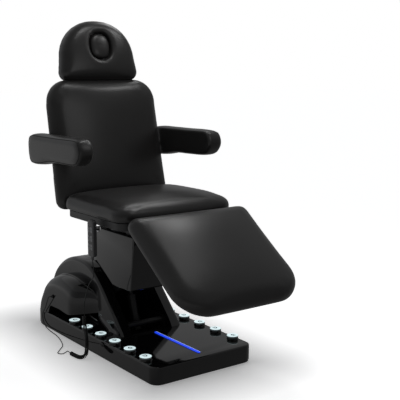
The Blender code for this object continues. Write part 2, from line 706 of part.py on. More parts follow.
def build_lift(look):
    low = PAN_T + GAP
    front = CROSS_TUBE[0] + 0.025
    outline = [(ARM_BASE[0] - 0.075, low), (front, low), (front, CROSS_TUBE[1] + 0.018),
               (ARM_BASE[0] + 0.105, CROSS_TUBE[1] + 0.018), (ARM_BASE[0] + 0.075, LINK_BASE[1] + 0.02)]
    outline += arc(ARM_BASE, 0.034, 20, 150, 6)
    outline.append((ARM_BASE[0] - 0.075, LINK_BASE[1]))
    bodies = []
    for side in (-1, 1):
        ys = sorted((side * PLATE_Y, side * (PLATE_Y + PLATE_T)))
        bodies.append(slab(outline, *ys))
    frame = put("lift_frame", bodies[0], look["steel_black"])
    join(frame, bodies[1], rod((CROSS_TUBE[0], -PLATE_Y - 0.002, CROSS_TUBE[1]),
                               (CROSS_TUBE[0], PLATE_Y + 0.002, CROSS_TUBE[1]), 0.014))
    join(frame, box((ARM_BASE[0] - 0.070, -PLATE_Y - 0.001, low),
                    (front - 0.005, PLATE_Y + 0.001, low + 0.008)))
    holes = [rod((p[0], -PLATE_Y - 0.02, p[1]), (p[0], PLATE_Y + 0.02, p[1]), PIN_R + RUN)
             for p in (ARM_BASE, LINK_BASE)]
    cut(frame, *holes)
    foot = Vector((LIFT_FOOT[0], 0.0, LIFT_FOOT[1]))
    base = low + 0.008
    for side in (-1, 1):
        near = side * (TUBE_R + 0.008)
        ys = sorted((near, near + side * 0.006))
        join(frame, box((foot.x - 0.022, ys[0], base - 0.001), (foot.x + 0.022, ys[1], foot.z + 0.012)))
    tidy(frame)
    put("lower_pivot_shaft", rod((ARM_BASE[0], -PLATE_Y - 0.005, ARM_BASE[1]),
                                 (ARM_BASE[0], PLATE_Y + 0.005, ARM_BASE[1]), PIN_R), look["steel_bright"])
    pins = rod((foot.x, -TUBE_R - 0.0075, foot.z), (foot.x, TUBE_R + 0.0075, foot.z), 0.008)
    _, mouth, way = actuator("lift_actuator_tube", LIFT_FOOT, LIFT_EYE, 0.0, look, None, 0.165, pins)
    eye = Vector((LIFT_EYE[0], 0.0, LIFT_EYE[1]))
    shaft = empty("pivot_lift_rod", eye)
    inside = mouth - way * LIFT_ROD_HELD
    piston("lift_actuator_rod", (0.0, 0.0), inside - eye, 0.0, look, shaft)

    arm_hub = empty("pivot_lift_arm", (ARM_BASE[0], 0.0, ARM_BASE[1]), -ARM_ANGLE)
    bars = []
    for side in (-1, 1):
        ys = sorted((side * ARM_BAR_Y, side * (ARM_BAR_Y + ARM_BAR_T)))
        bars.append(slab(bar_outline((0.0, 0.0), (ARM_LENGTH, 0.0), ARM_BAR_H, 0.0), *ys))
    arm = put("lift_arm", bars[0], look["steel_black"], arm_hub)
    join(arm, bars[1])
    for x in (LIFT_EYE_ALONG, ARM_LENGTH - 0.10):
        join(arm, rod((x, -ARM_BAR_Y - 0.004, 0.0), (x, ARM_BAR_Y + 0.004, 0.0), 0.016))
    join(arm, *fork((LIFT_EYE_ALONG, -LIFT_EYE_DOWN), (LIFT_EYE_ALONG, 0.0), 0.0, 0.018))
    cut(arm, *[rod((x, -0.12, 0.0), (x, 0.12, 0.0), PIN_R + RUN) for x in (0.0, ARM_LENGTH)])
    tidy(arm)

    w = ARM_COVER_WALL
    shell = box((ARM_COVER_START, -ARM_COVER_HALF, -ARM_COVER_DOWN),
                (ARM_COVER_END, ARM_COVER_HALF, ARM_COVER_UP))
    cover = put("lift_arm_cover", shell, look["gloss_black"], arm_hub)
    soften = cover.modifiers.new("edge", "BEVEL")
    soften.width = 0.008
    soften.segments = 3
    soften.limit_method = "ANGLE"
    bake(cover)
    cut(cover, box((ARM_COVER_START - 0.02, -ARM_COVER_HALF + w, -ARM_COVER_DOWN - 0.02),
                   (ARM_COVER_END + 0.02, ARM_COVER_HALF - w, ARM_COVER_UP - w)))
    tidy(cover)

    link_hub = empty("pivot_tie_link", (LINK_BASE[0], 0.0, LINK_BASE[1]), -ARM_ANGLE)
    bars = []
    for side in (-1, 1):
        ys = sorted((side * LINK_BAR_Y, side * (LINK_BAR_Y + LINK_BAR_T)))
        bars.append(slab(bar_outline((0.0, 0.0), (ARM_LENGTH, 0.0), LINK_BAR_H, 0.0), *ys))
    link = put("tie_link", bars[0], look["steel_black"], link_hub)
    join(link, bars[1])
    join(link, rod((0.38, -LINK_BAR_Y - 0.003, 0.0), (0.38, LINK_BAR_Y + 0.003, 0.0), 0.010))
    for side in (-1, 1):
        inner = side * (LINK_BAR_Y + 0.004)
        join(link, rod((0.0, inner, 0.0), (0.0, side * (PLATE_Y + PLATE_T - 0.001), 0.0), PIN_R))
        join(link, rod((ARM_LENGTH, inner, 0.0),
                       (ARM_LENGTH, side * (CARRIER_HALF - CARRIER_WALL - 0.0025), 0.0), LINK_PIN_R))
    tidy(link)


def bake(part):
    """Fixes a part's modifiers into its mesh."""
    bpy.context.view_layer.update()
    graph = bpy.context.evaluated_depsgraph_get()
    made = bpy.data.meshes.new_from_object(part.evaluated_get(graph))
    part.modifiers.clear()
    part.data = made
    made.name = part.name
    return part


def build_carrier(look):
    hub = empty("pivot_carrier", (ARM_TOP[0], 0.0, ARM_TOP[1]))

    def local(points):
        return [(x - ARM_TOP[0], z - ARM_TOP[1]) for x, z in points]

    side_view = local([(CARRIER_REAR, CARRIER_TOP), (CARRIER_REAR + 0.006, CARRIER_TOP - CARRIER_REAR_DROP),
                       (0.112, CARRIER_BOTTOM - 0.002), (0.150, CARRIER_BOTTOM - 0.004),
                       (CARRIER_FRONT_BOTTOM, CARRIER_BOTTOM), (CARRIER_FRONT_TOP, CARRIER_TOP)])
    w = CARRIER_WALL
    body = put("carrier_cover", slab(side_view, -CARRIER_HALF, CARRIER_HALF), look["gloss_black"], hub)
    soften = body.modifiers.new("edge", "BEVEL")
    soften.width = 0.006
    soften.segments = 2
    soften.limit_method = "ANGLE"
    bake(body)
    inner = local([(CARRIER_REAR - 0.30, CARRIER_TOP - w), (CARRIER_REAR - 0.30, CARRIER_BOTTOM - 0.10),
                   (0.190, CARRIER_BOTTOM - 0.10), (0.196, CARRIER_BOTTOM + w),
                   (CARRIER_FRONT_BOTTOM - w, CARRIER_BOTTOM + w),
                   (CARRIER_FRONT_TOP - w, CARRIER_TOP - w)])
    cut(body, slab(inner, -CARRIER_HALF + w, CARRIER_HALF - w))
    roof = CARRIER_TOP - ARM_TOP[1]
    cut(body, box((CARRIER_REAR - 0.05 - ARM_TOP[0], -0.135, roof - 0.02),
                  (CARRIER_FRONT_TOP - 0.03 - ARM_TOP[0], 0.135, roof + 0.02)))
    notch = LEG_EYE[1] - ARM_TOP[1]
    cut(body, box((0.09, LEG_ROD_Y - 0.022, notch - 0.022), (0.16, LEG_ROD_Y + 0.022, notch + 0.022)))
    for side in (-1, 1):
        ys = sorted((side * (CARRIER_HALF - w - 0.012), side * (CARRIER_HALF - w + 0.001)))
        join(body, slab(arc((0.0, 0.0), 0.030, 0, 330, 11), *ys))
        join(body, slab(arc(LINK_OFFSET, 0.022, 0, 330, 11), *ys))
    for (x, z), r in (((0.0, 0.0), PIN_R + RUN), (LINK_OFFSET, LINK_PIN_R + 3 * RUN)):
        cut(body, rod((x, -CARRIER_HALF + 0.002, z), (x, CARRIER_HALF - 0.002, z), r))
    tidy(body)
    reach = CARRIER_HALF - 0.0035
    put("upper_pivot_shaft", rod((0.0, -reach, 0.0), (0.0, reach, 0.0), PIN_R), look["steel_bright"], hub)

    rails = []
    top = SEAT_BOTTOM - TRAY_T - GAP
    low = CARRIER_TOP + GAP
    ear = arc((BACK_PIVOT[0], BACK_PIVOT[1]), 0.016, 0, 180, 8)
    nose = arc((LEG_PIVOT[0], LEG_PIVOT[1]), 0.015, -90, 90, 6)
    mid = RAIL_BOTTOM
    lower = [(BACK_PIVOT[0] - 0.016, low + 0.02), (BACK_PIVOT[0] + 0.03, mid), (CARRIER_REAR + 0.02, mid),
             (CARRIER_REAR + 0.025, low), (CARRIER_REAR + 0.075, low), (CARRIER_REAR + 0.08, mid),
             (0.200, mid), (0.205, low), (0.255, low), (0.260, mid), (0.35, mid)]
    upper = [(LEG_PIVOT[0] - 0.032, LEG_PIVOT[1] + 0.015), (TRAY_FRONT + 0.008, top),
             (BACK_PIVOT[0] + 0.075, top), (BACK_PIVOT[0] + 0.016, top - 0.004)]
    rail = local(lower + nose + upper + ear)
    for side in (-1, 1):
        rails.append(slab(rail, *sorted((side * RAIL_Y, side * (RAIL_Y + RAIL_W)))))
    frame = put("seat_frame", rails[0], look["steel_black"], hub)
    join(frame, rails[1])
    for x in (0.075, 0.228):
        join(frame, box((x - ARM_TOP[0], -RAIL_Y - 0.002, top - 0.020 - ARM_TOP[1]),
                        (x + 0.035 - ARM_TOP[0], RAIL_Y + 0.002, top - 0.001 - ARM_TOP[1])))
    joint_bores = []
    for p, r in ((BACK_PIVOT, PIN_R), (LEG_PIVOT, 0.008)):
        x, z = p[0] - ARM_TOP[0], p[1] - ARM_TOP[1]
        joint_bores.append(rod((x, -0.25, z), (x, 0.25, z), r + RUN))
    cut(frame, *joint_bores)
    tidy(frame)
    x, z = BACK_PIVOT[0] - ARM_TOP[0], BACK_PIVOT[1] - ARM_TOP[1]
    put("back_hinge_shaft", rod((x, -0.205, z), (x, 0.205, z), PIN_R), look["steel_bright"], hub)

    tray_low = SEAT_BOTTOM - TRAY_T - ARM_TOP[1]
    tray_high = SEAT_BOTTOM - GAP - ARM_TOP[1]
    rings = []
    for step, z in ((0.006, tray_low), (0.0, tray_low + 0.006), (0.0, tray_high)):
        ring = corner_ring(TRAY_REAR - ARM_TOP[0] + step, TRAY_FRONT - ARM_TOP[0] - step,
                           TRAY_HALF - step, (0.030, 0.050), 0.0, 4, 0)
        rings.append([(x, y, z) for x, y in ring])
    tray = put("seat_tray", loft(rings), look["matte_black"], hub)
    reach = FORK_GAP + FORK_T + 0.003
    cut(tray, box((TRAY_REAR - 0.02 - ARM_TOP[0], BACK_ROD_Y - reach, tray_low - 0.01),
                  (TRAY_REAR + 0.058 - ARM_TOP[0], BACK_ROD_Y + reach, tray_low + 0.018)))
    tidy(tray)

    seat = pad(SEAT_REAR - ARM_TOP[0], SEAT_FRONT - ARM_TOP[0], SEAT_HALF, SEAT_THICK, SEAT_CROWN,
               (0.050, 0.075), edge=0.030)
    seat.transform(Matrix.Translation((0.0, 0.0, SEAT_BOTTOM - ARM_TOP[1])))
    put("seat_cushion", seat, look["hide_black"], hub)

    beam = top - 0.020 - ARM_TOP[1]
    z = BACK_ROD_Z - ARM_TOP[1]
    x = 0.228 - ARM_TOP[0]
    lug = box((x, BACK_ROD_Y - 0.015, z), (x + 0.030, BACK_ROD_Y + 0.015, beam - GAP))
    _, mouth, _ = actuator("back_actuator_tube", (x + 0.027, z), (x - 1.0, z), BACK_ROD_Y, look, hub,
                           0.265, lug)
    shaft = empty("pivot_back_rod", (BACK_EYE[0], 0.0, BACK_ROD_Z))
    inside = Vector((mouth.x + 0.04 + ARM_TOP[0] - BACK_EYE[0], 0.0, 0.0))
    piston("back_actuator_rod", (0.0, 0.0), inside, BACK_ROD_Y, look, shaft)

    z = LEG_EYE[1] - ARM_TOP[1]
    x = 0.075 - ARM_TOP[0]
    lug = box((x + 0.004, LEG_ROD_Y - 0.015, z), (x + 0.032, LEG_ROD_Y + 0.015, beam - GAP))
    _, mouth, _ = actuator("leg_actuator_tube", (x - 0.005, z), (x + 1.0, z), LEG_ROD_Y, look, hub,
                           0.200, lug)
    shaft = empty("pivot_leg_rod", (LEG_EYE[0], 0.0, LEG_EYE[1]))
    inside = Vector((mouth.x - 0.060 + ARM_TOP[0] - LEG_EYE[0], 0.0, 0.0))
    piston("leg_actuator_rod", (0.0, 0.0), inside, LEG_ROD_Y, look, shaft)
    return hub


def build_back(look):
    hub = empty("pivot_back", (BACK_PIVOT[0], 0.0, BACK_PIVOT[1]), -BACK_LEAN)
    back = stand(pad(BACK_LOW, BACK_HIGH, BACK_HALF, BACK_THICK, BACK_CROWN, (0.045, 0.120),
                     edge=0.024, taper=BACK_TAPER))
    back.transform(Matrix.Translation((BACK_REAR, 0.0, 0.0)))
    cushion = put("back_cushion", back, look["hide_black"], hub)
    cut(cushion, box((BACK_REAR - 0.02, -0.225, BACK_LOW - 0.02), (0.0168, 0.225, 0.050)))
    tidy(cushion)

    rear = BACK_REAR - GAP
    rails = []
    for side in (-1, 1):
        ys = sorted((side * 0.1705, side * 0.1885))
        shape = arc((0.0, 0.0), 0.018, -30, -200, 8)
        shape += [(rear - 0.026, 0.050), (rear - 0.026, 0.470), (rear, 0.470), (rear, 0.045),
                  (0.006, 0.020)]
        rails.append(slab(shape, *ys))
    frame = put("back_frame", rails[0], look["steel_black"], hub)
    join(frame, rails[1])
    for z in (0.060, ARMREST_PIVOT_UP, 0.440):
        join(frame, box((rear - 0.024, -0.172, z - 0.014), (rear - 0.002, 0.172, z + 0.014)))
    turn = BACK_LEAN - BACK_SWING / 2
    crank = (BACK_CRANK * math.sin(turn), -BACK_CRANK * math.cos(turn))
    for side in (-1, 1):
        near = BACK_ROD_Y + side * FORK_GAP
        ys = sorted((near, near + side * FORK_T))
        start = (rear - 0.0178, 0.0592)
        join(frame, slab(bar_outline(crank, start, 0.030, 0.002), *ys))
    bores = [rod((0.0, -0.25, 0.0), (0.0, 0.25, 0.0), PIN_R + RUN)]
    for side in (-1, 1):
        bores.append(rod((ARMREST_PIVOT_BACK, side * 0.150, ARMREST_PIVOT_UP),
                         (ARMREST_PIVOT_BACK, side * 0.25, ARMREST_PIVOT_UP), 0.008 + RUN))
    guides = [rod((HEAD_POST_X, side * HEAD_POST_Y, 0.40), (HEAD_POST_X, side * HEAD_POST_Y, 0.50),
                  HEAD_POST_R + RUN) for side in (-1, 1)]
    cut(frame, *bores, *guides)
    tidy(frame)

    def rim(step, x):
        ring = corner_ring(BACK_LOW + 0.030 + step, BACK_HIGH - 0.012 - step, BACK_HALF - 0.012 - step,
                           (max(0.060 - step, 0.02), max(0.110 - step, 0.02)), 0.0, 3, 0)
        return [(x, y, z) for z, y in ring]

    dish = loft([rim(0.0, rear), rim(0.002, rear - 0.014), rim(0.030, rear - 0.042),
                 rim(0.075, rear - 0.056), rim(0.140, rear - 0.060)])
    cover = put("back_cover", dish, look["gloss_black"], hub)
    t = 0.004
    cut(cover, loft([rim(t, rear + 0.01), rim(t, rear - 0.0125), rim(0.030 + t, rear - 0.038),
                     rim(0.075 + t, rear - 0.052), rim(0.140, rear - 0.056)]))
    mouth = box((rear - 0.10, -0.205, BACK_LOW - 0.05), (rear + 0.02, 0.205, 0.040))
    holes = [rod((ARMREST_PIVOT_BACK, side * 0.22, ARMREST_PIVOT_UP),
                 (ARMREST_PIVOT_BACK, side * 0.40, ARMREST_PIVOT_UP), 0.012) for side in (-1, 1)]
    holes += [rod((HEAD_POST_X, side * HEAD_POST_Y, 0.48), (HEAD_POST_X, side * HEAD_POST_Y, 0.62),
                  HEAD_POST_R + 0.002) for side in (-1, 1)]
    cut(cover, mouth, *holes)
    tidy(cover)

    build_armrests(look)
    build_head(look)


def armrest_outline():
    """The armrest's side outline about its pivot: level top, wavy lower edge, round front."""
    rear = -ARMREST_REAR
    front = rear + ARMREST_LENGTH
    low = ARMREST_LOW
    top = low + ARMREST_H
    points = ((rear + 0.004, low + 0.030), (rear + 0.030, low - 0.006), (rear + 0.110, low - 0.006),
              (rear + 0.210, low + 0.010), (rear + 0.310, low + 0.012), (front - 0.060, low + 0.016),
              (front - 0.020, low + 0.036), (front, low + 0.072), (front - 0.012, top - 0.018),
              (front - 0.050, top), (rear + 0.300, top), (rear + 0.150, top), (rear + 0.035, top - 0.002),
              (rear + 0.002, top - 0.030))
    return [(p.x, p.y) for p in smooth(points, 2, True)]


def build_armrests(look):
    ca, sa = math.cos(BACK_LEAN), math.sin(BACK_LEAN)
    x = BACK_PIVOT[0] + ca * ARMREST_PIVOT_BACK - sa * ARMREST_PIVOT_UP
    z = BACK_PIVOT[1] + sa * ARMREST_PIVOT_BACK + ca * ARMREST_PIVOT_UP
    outline = armrest_outline()
    for side, label in ((-1, "right"), (1, "left")):
        hub = empty(f"pivot_armrest_{label}", (x, 0.0, z))
        rings = []
        for y, step in ((0.0, 0.008), (0.004, 0.002), (0.012, 0.0), (ARMREST_W / 2, -0.0015),
                        (ARMREST_W - 0.018, 0.0), (ARMREST_W - 0.008, 0.003),
                        (ARMREST_W - 0.002, 0.010), (ARMREST_W, 0.020)):
            rings.append([(px, side * (ARMREST_Y + y), pz) for px, pz in inset(outline, step)])
        rest = put(f"armrest_pad_{label}", loft(rings), look["hide_black"], hub)
        cut(rest, rod((0.0, side * (ARMREST_Y - 0.02), 0.0), (0.0, side * (ARMREST_Y + 0.030), 0.0),
                      BUSH_R + RUN))
        tidy(rest)
        tip = side * (ARMREST_Y + 0.028)
        stub = rod((0.0, side * 0.1600, 0.0), (0.0, tip, 0.0), 0.008)
        pin = put(f"armrest_bracket_{label}", stub, look["steel_bright"], hub)
        join(pin, rod((0.0, side * (ARMREST_Y - 0.0015), 0.0), (0.0, tip, 0.0), BUSH_R))
        tidy(pin)


def oval(half_w, half_h, count=20):
    return [(half_w * math.cos(2 * math.pi * i / count), half_h * math.sin(2 * math.pi * i / count))
            for i in range(count)]


def build_head(look):
    low = BACK_HIGH + HEAD_GAP
    ca, sa = math.cos(BACK_LEAN), math.sin(BACK_LEAN)
    x = BACK_PIVOT[0] - sa * low
    z = BACK_PIVOT[1] + ca * low
    hub = empty("pivot_head", (x, 0.0, z), -BACK_LEAN)
    head = stand(pad(0.0, HEAD_LENGTH, HEAD_HALF, HEAD_THICK, HEAD_CROWN, (0.042, 0.184),
                     edge=0.026, pull=0.0, taper=HEAD_TAPER))
    head.transform(Matrix.Translation((HEAD_REAR, 0.0, 0.0)))
    cushion = put("head_cushion", head, look["hide_black"], hub)
    edge = RUN + 0.0005
    bore = loft([[(px, y, HOLE_UP + h) for y, h in oval(HOLE_HALF_W + edge, HOLE_HALF_H + edge)]
                 for px in (-0.10, 0.10)])
    cut(cushion, bore)
    tidy(cushion)
    front = HEAD_REAR + HEAD_THICK + HEAD_CROWN
    rings = []
    for px, step in ((HEAD_REAR + 0.002, 0.004), (HEAD_REAR + 0.008, 0.0), (front - 0.012, 0.0),
                     (front - 0.005, 0.003), (front - 0.002, 0.010), (front, 0.026)):
        rings.append([(px, y, h) for y, h in oval(HOLE_HALF_W - step, HOLE_HALF_H - step)])
    plug_hub = empty("pivot_face_plug", (x - sa * HOLE_UP, 0.0, z + ca * HOLE_UP), -BACK_LEAN)
    put("face_plug", loft(rings), look["hide_black"], plug_hub)

    rear = HEAD_REAR - GAP
    bodies = [rod((HEAD_POST_X, side * HEAD_POST_Y, -0.260), (HEAD_POST_X, side * HEAD_POST_Y, 0.060),
                  HEAD_POST_R) for side in (-1, 1)]
    bridge = box((HEAD_POST_X - 0.002, -0.110, 0.030), (rear, 0.110, 0.062))
    frame = put("head_frame", bridge, look["steel_bright"], hub)
    join(frame, *bodies)
    tidy(frame)


def build_leg(look):
    hub = empty("pivot_leg", (LEG_PIVOT[0], 0.0, LEG_PIVOT[1]), LEG_DROP)
    leg = pad(LEG_REAR, LEG_REAR + LEG_LENGTH, LEG_HALF, LEG_THICK, LEG_CROWN, (0.050, 0.160), edge=0.028)
    leg.transform(Matrix.Translation((0.0, 0.0, LEG_BOTTOM)))
    put("leg_cushion", leg, look["hide_black"], hub)

    top = LEG_BOTTOM - GAP
    rails = []
    for side in (-1, 1):
        ys = sorted((side * (RAIL_Y + RAIL_W + RUN), side * (RAIL_Y + RAIL_W + RUN + 0.018)))
        shape = arc((0.0, 0.0), 0.015, 180, 300, 6)
        shape += [(0.060, top - 0.028), (0.400, top - 0.022), (0.420, top), (0.010, top),
                  (-0.010, top - 0.022)]
        rails.append(slab(shape, *ys))
    frame = put("leg_frame", rails[0], look["steel_black"], hub)
    join(frame, rails[1])
    reach = RAIL_Y + RAIL_W + 0.003
    for x in (0.060, 0.360):
        join(frame, box((x, -reach, top - 0.021), (x + 0.030, reach, top - 0.001)))
    turn = LEG_DROP - LEG_CRANK_TURN
    crank = (LEG_CRANK * math.sin(turn), -LEG_CRANK * math.cos(turn))
    for side in (-1, 1):
        near = LEG_ROD_Y + side * FORK_GAP
        ys = sorted((near, near + side * FORK_T))
        join(frame, slab(bar_outline(crank, (0.074, top - 0.0165), 0.026, 0.002), *ys))
    pin = RAIL_Y + RAIL_W + 0.010
    join(frame, rod((0.0, -pin, 0.0), (0.0, pin, 0.0), 0.008))
    tidy(frame)


def build_handset(look, hub):
    def at(x, y, z):
        return (x - ARM_TOP[0], y, z - ARM_TOP[1])

    half = HANDSET_W / 2
    face = HANDSET_Y - HANDSET_T / 2
    back = HANDSET_Y + HANDSET_T / 2
    rings = []
    for y, step in ((face, 0.004), (face + 0.003, 0.0), (back - 0.003, 0.0), (back, 0.003)):
        ring = corner_ring(HANDSET_BOTTOM + step, HANDSET_TOP - step, half - step, (0.012, 0.016),
                           0.0, 4, 0)
        rings.append([at(HANDSET_X + b, y, a) for a, b in ring])
    body = put("handset", loft(rings), look["grey_plastic"], hub)
    tray_low = SEAT_BOTTOM - TRAY_T
    hook_z = tray_low - 0.022
    join(body, box(at(HANDSET_X - 0.005, back - 0.002, hook_z + 0.0038),
                   at(HANDSET_X + 0.005, back + 0.030, hook_z + 0.0100)))
    join(body, rod(at(HANDSET_X, HANDSET_Y, HANDSET_BOTTOM + 0.003),
                   at(HANDSET_X, HANDSET_Y, HANDSET_BOTTOM - 0.016), 0.0075, 10, 0.0045))
    keys = []
    for k in range(6):
        column, row = k % 2, k // 2
        keys.append((HANDSET_X + (column - 0.5) * 0.022, HANDSET_TOP - 0.042 - row * 0.038))
    key_w, key_h = 0.009, 0.013
    pockets = []
    for x, z in keys:
        pockets.append(box(at(x - key_w - RUN, face - 0.01, z - key_h - RUN),
                           at(x + key_w + RUN, face + 0.005, z + key_h + RUN)))
    cut(body, gather(pockets))
    tidy(body)
    for k, (x, z) in enumerate(keys):
        spot = empty(f"pivot_handset_key_{k + 1}", (x, face, z))
        rings = []
        for y, step in ((0.0035, 0.0), (-0.0008, 0.0), (-0.0018, 0.0012)):
            ring = corner_ring(-key_w + step, key_w - step, key_h - step, (0.003, 0.003), 0.0, 2, 0)
            rings.append([(px, y, pz) for px, pz in ring])
        put(f"handset_key_{k + 1}", loft(rings), look["key_pale"], spot)

    wire = 0.0028
    y = back + 0.018
    bend = [at(HANDSET_X - 0.022, y, tray_low - GAP)]
    for degrees in range(180, 361, 30):
        a = math.radians(degrees)
        bend.append(at(HANDSET_X + 0.022 * math.cos(a), y, hook_z + 0.010 + 0.010 * math.sin(a)))
    bend.append(at(HANDSET_X + 0.022, y, tray_low - GAP))
    tube("handset_hook", bend, wire, look["steel_bright"], 2, hub)


def coil_points(path):
    """A helix about a line, straight for a stretch at both ends."""
    line = even(path, 0.001)
    count = COIL_CURLS * COIL_POINTS
    lengths = [0.0]
    for a, b in zip(line, line[1:]):
        lengths.append(lengths[-1] + (b - a).length)
    total = lengths[-1]
    lead = 3 * CORD_R
    normal = (line[1] - line[0]).orthogonal().normalized()
    normals = []
    for i in range(len(line)):
        way = (line[min(i + 1, len(line) - 1)] - line[max(i - 1, 0)]).normalized()
        normal = (normal - way * normal.dot(way)).normalized()
        normals.append((way, normal.copy()))
    points = [line[0]]
    k = 0
    for i in range(count + 1):
        u = i / count
        want = lead + (total - 2 * lead) * u
        while k < len(line) - 2 and lengths[k + 1] < want:
            k += 1
        way, side = normals[k]
        centre = line[k].lerp(line[k + 1], (want - lengths[k]) / (lengths[k + 1] - lengths[k]))
        ramp = min(1.0, i / (1.5 * COIL_POINTS), (count - i) / (1.5 * COIL_POINTS))
        r = COIL_MEAN_R * ramp * ramp * (3 - 2 * ramp)
        a = 2 * math.pi * i / COIL_POINTS
        points.append(centre + side * (r * math.cos(a)) + way.cross(side) * (r * math.sin(a)))
    points.append(line[-1])
    return points


def least_gap(points, radius, skip):
    """The least clear distance between stretches of a wound cord that aren't neighbours."""
    best = 1.0
    for i in range(len(points) - 1):
        mid = (points[i] + points[i + 1]) / 2
        for j in range(i + skip, min(i + 6 * skip, len(points))):
            best = min(best, (points[j] - mid).length, (points[j] - points[i]).length)
    return best - 2 * radius


def build_cord(look):
    start = Vector((HANDSET_X, HANDSET_Y, HANDSET_BOTTOM - 0.016 - GAP))
    top = Vector((0.062, -0.312, 0.214))
    route = (start, start + Vector((0.001, 0.0, -0.010)), (0.180, -0.324, 0.425), (0.172, -0.322, 0.390),
             (0.125, -0.318, 0.346), (0.082, -0.314, 0.275), top + Vector((0.001, 0.0, 0.012)), top)
    tube("cord_upper", even(smooth(route, 8), 0.011), CORD_R, look["rubber_black"], 2)

    turn_in = top - Vector((0.0, 0.0, GAP))
    floor = COIL_MEAN_R + CORD_R + 0.0012
    end = Vector((0.000, -0.360, floor))
    path = (turn_in, turn_in - Vector((0.0, 0.0, 0.012)), (0.066, -0.311, 0.150), (0.076, -0.309, 0.095),
            (0.092, -0.316, 0.045), (0.106, -0.332, floor + 0.008), (0.094, -0.352, floor),
            (0.050, -0.360, floor), end + Vector((0.012, 0.0, 0.0)), end)
    coil = coil_points(smooth(path, 12))
    print(f"cord_coil: least gap to itself {least_gap(coil, CORD_R, 6) * 1000:.2f} mm, {COIL_CURLS} curls")
    tube("cord_coil", coil, CORD_R, look["rubber_black"], 1)

    mouth = Vector((GROMMET_X, -FENDER_HALF - 0.006 - GAP, GROMMET_Z))
    low = CORD_R + 0.0012
    side = -BASE_WIDTH / 2 - CORD_R - 0.0025
    route = (end - Vector((2 * GAP, 0.0, 0.0)), end - Vector((0.012, 0.0, 0.0)), (-0.020, -0.366, low),
             (-0.012, -0.388, low), (-0.034, -0.398, low), (-0.066, -0.372, low), (-0.122, -0.328, low),
             (-0.240, -0.292, low), (-0.350, -0.280, low), (-0.415, side - 0.004, 0.012),
             (-0.448, side, 0.042), (-0.442, side, 0.075), (-0.408, side - 0.002, 0.112),
             (-0.360, side - 0.010, 0.170), mouth - Vector((0.002, 0.008, 0.0)), mouth)
    tube("cord_lower", even(smooth(route, 8), 0.0125), CORD_R, look["rubber_black"], 2)


def main():
    clear_scene()
    look = finish()
    build_base(look)
    build_housing(look)
    build_lift(look)
    carrier = build_carrier(look)
    build_back(look)
    build_leg(look)
    build_handset(look, carrier)
    build_cord(look)


main()
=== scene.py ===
"""Looks of a facial treatment bed: upholstery, gloss shells, lit buttons, cord and stage."""
import math
from collections import namedtuple

import bmesh
import bpy
from mathutils import Matrix, Vector


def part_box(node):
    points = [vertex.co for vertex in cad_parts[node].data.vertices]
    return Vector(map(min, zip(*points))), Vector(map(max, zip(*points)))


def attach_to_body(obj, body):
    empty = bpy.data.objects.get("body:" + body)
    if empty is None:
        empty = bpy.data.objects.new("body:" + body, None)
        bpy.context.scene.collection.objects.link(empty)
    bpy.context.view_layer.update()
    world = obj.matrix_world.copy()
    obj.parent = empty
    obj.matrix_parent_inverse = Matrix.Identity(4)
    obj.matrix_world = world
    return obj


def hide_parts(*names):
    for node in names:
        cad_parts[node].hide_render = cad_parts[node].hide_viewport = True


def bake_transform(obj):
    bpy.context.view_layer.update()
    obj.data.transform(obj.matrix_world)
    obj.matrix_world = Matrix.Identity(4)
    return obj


bl_info = {
    "name": "Facial Treatment Bed",
    "version": (1, 0, 0),
    "blender": (4, 5, 0),
    "location": "View3D > Sidebar > Bed",
    "description": "Dresses a facial treatment bed and sets it on a plain stage",
    "category": "Object",
}

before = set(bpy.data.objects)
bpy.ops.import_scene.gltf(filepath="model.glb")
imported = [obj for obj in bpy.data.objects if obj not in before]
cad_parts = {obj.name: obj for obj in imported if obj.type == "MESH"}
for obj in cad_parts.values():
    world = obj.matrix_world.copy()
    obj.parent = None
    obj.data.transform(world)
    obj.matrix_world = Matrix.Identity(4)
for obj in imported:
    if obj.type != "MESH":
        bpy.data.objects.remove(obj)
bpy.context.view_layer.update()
SIDES = ((-1, "right"), (1, "left"))

# Joint places that the soft pieces and the covers are drawn from
BACK_PIVOT = Vector((-0.170, 0.0, 0.668))
BACK_LEAN = math.radians(11.5)
LEG_PIVOT = Vector((0.420, 0.0, 0.612))
LEG_DROP = math.radians(35.5)
ARM_TOP = Vector((0.170, 0.0, 0.465))
ARM_ANGLE = math.radians(26.7)
ARM_LENGTH = 0.50
ARMREST_PIVOT = (-0.052, 0.262)
HEAD_UP = 0.586

# Base and housing
DECK_Z = 0.081
DECK_LOW = 0.0123
BASE_HALF = (0.565, 0.265)
BASE_RADII = (0.10, 0.045)
BUTTON_Y = 0.2355
BUTTON_X = tuple(0.4545 - 0.125 * k for k in range(6))
BUTTON_R = 0.0245
BUTTON_TOP = 0.0985
SLOT_HALF = 0.110
SHELL_HALF = 0.166
HOUSING_REAR = -0.563
HOUSING_TOP = 0.374
HOUSING_FOOT = 0.154
HOUSING_LOW = DECK_Z + 0.0003
TOP_COVER_END = -0.190
FENDER_HALF = 0.262
FENDER_LIP = 0.196
FENDER_CENTRE = -0.400
GROMMET = (-0.345, 0.178)

# Handset
HANDSET_X = 0.177
HANDSET_Y = -0.3255
HANDSET_Z = (0.486, 0.648)
HANDSET_SIZE = (0.051, 0.020)

# Handset cord
CORD_R = 0.0021
COIL_R = 0.0076
CURL_POINTS = 12
END_STRIDE = 6
CORD_OFF_FLOOR = 0.0012

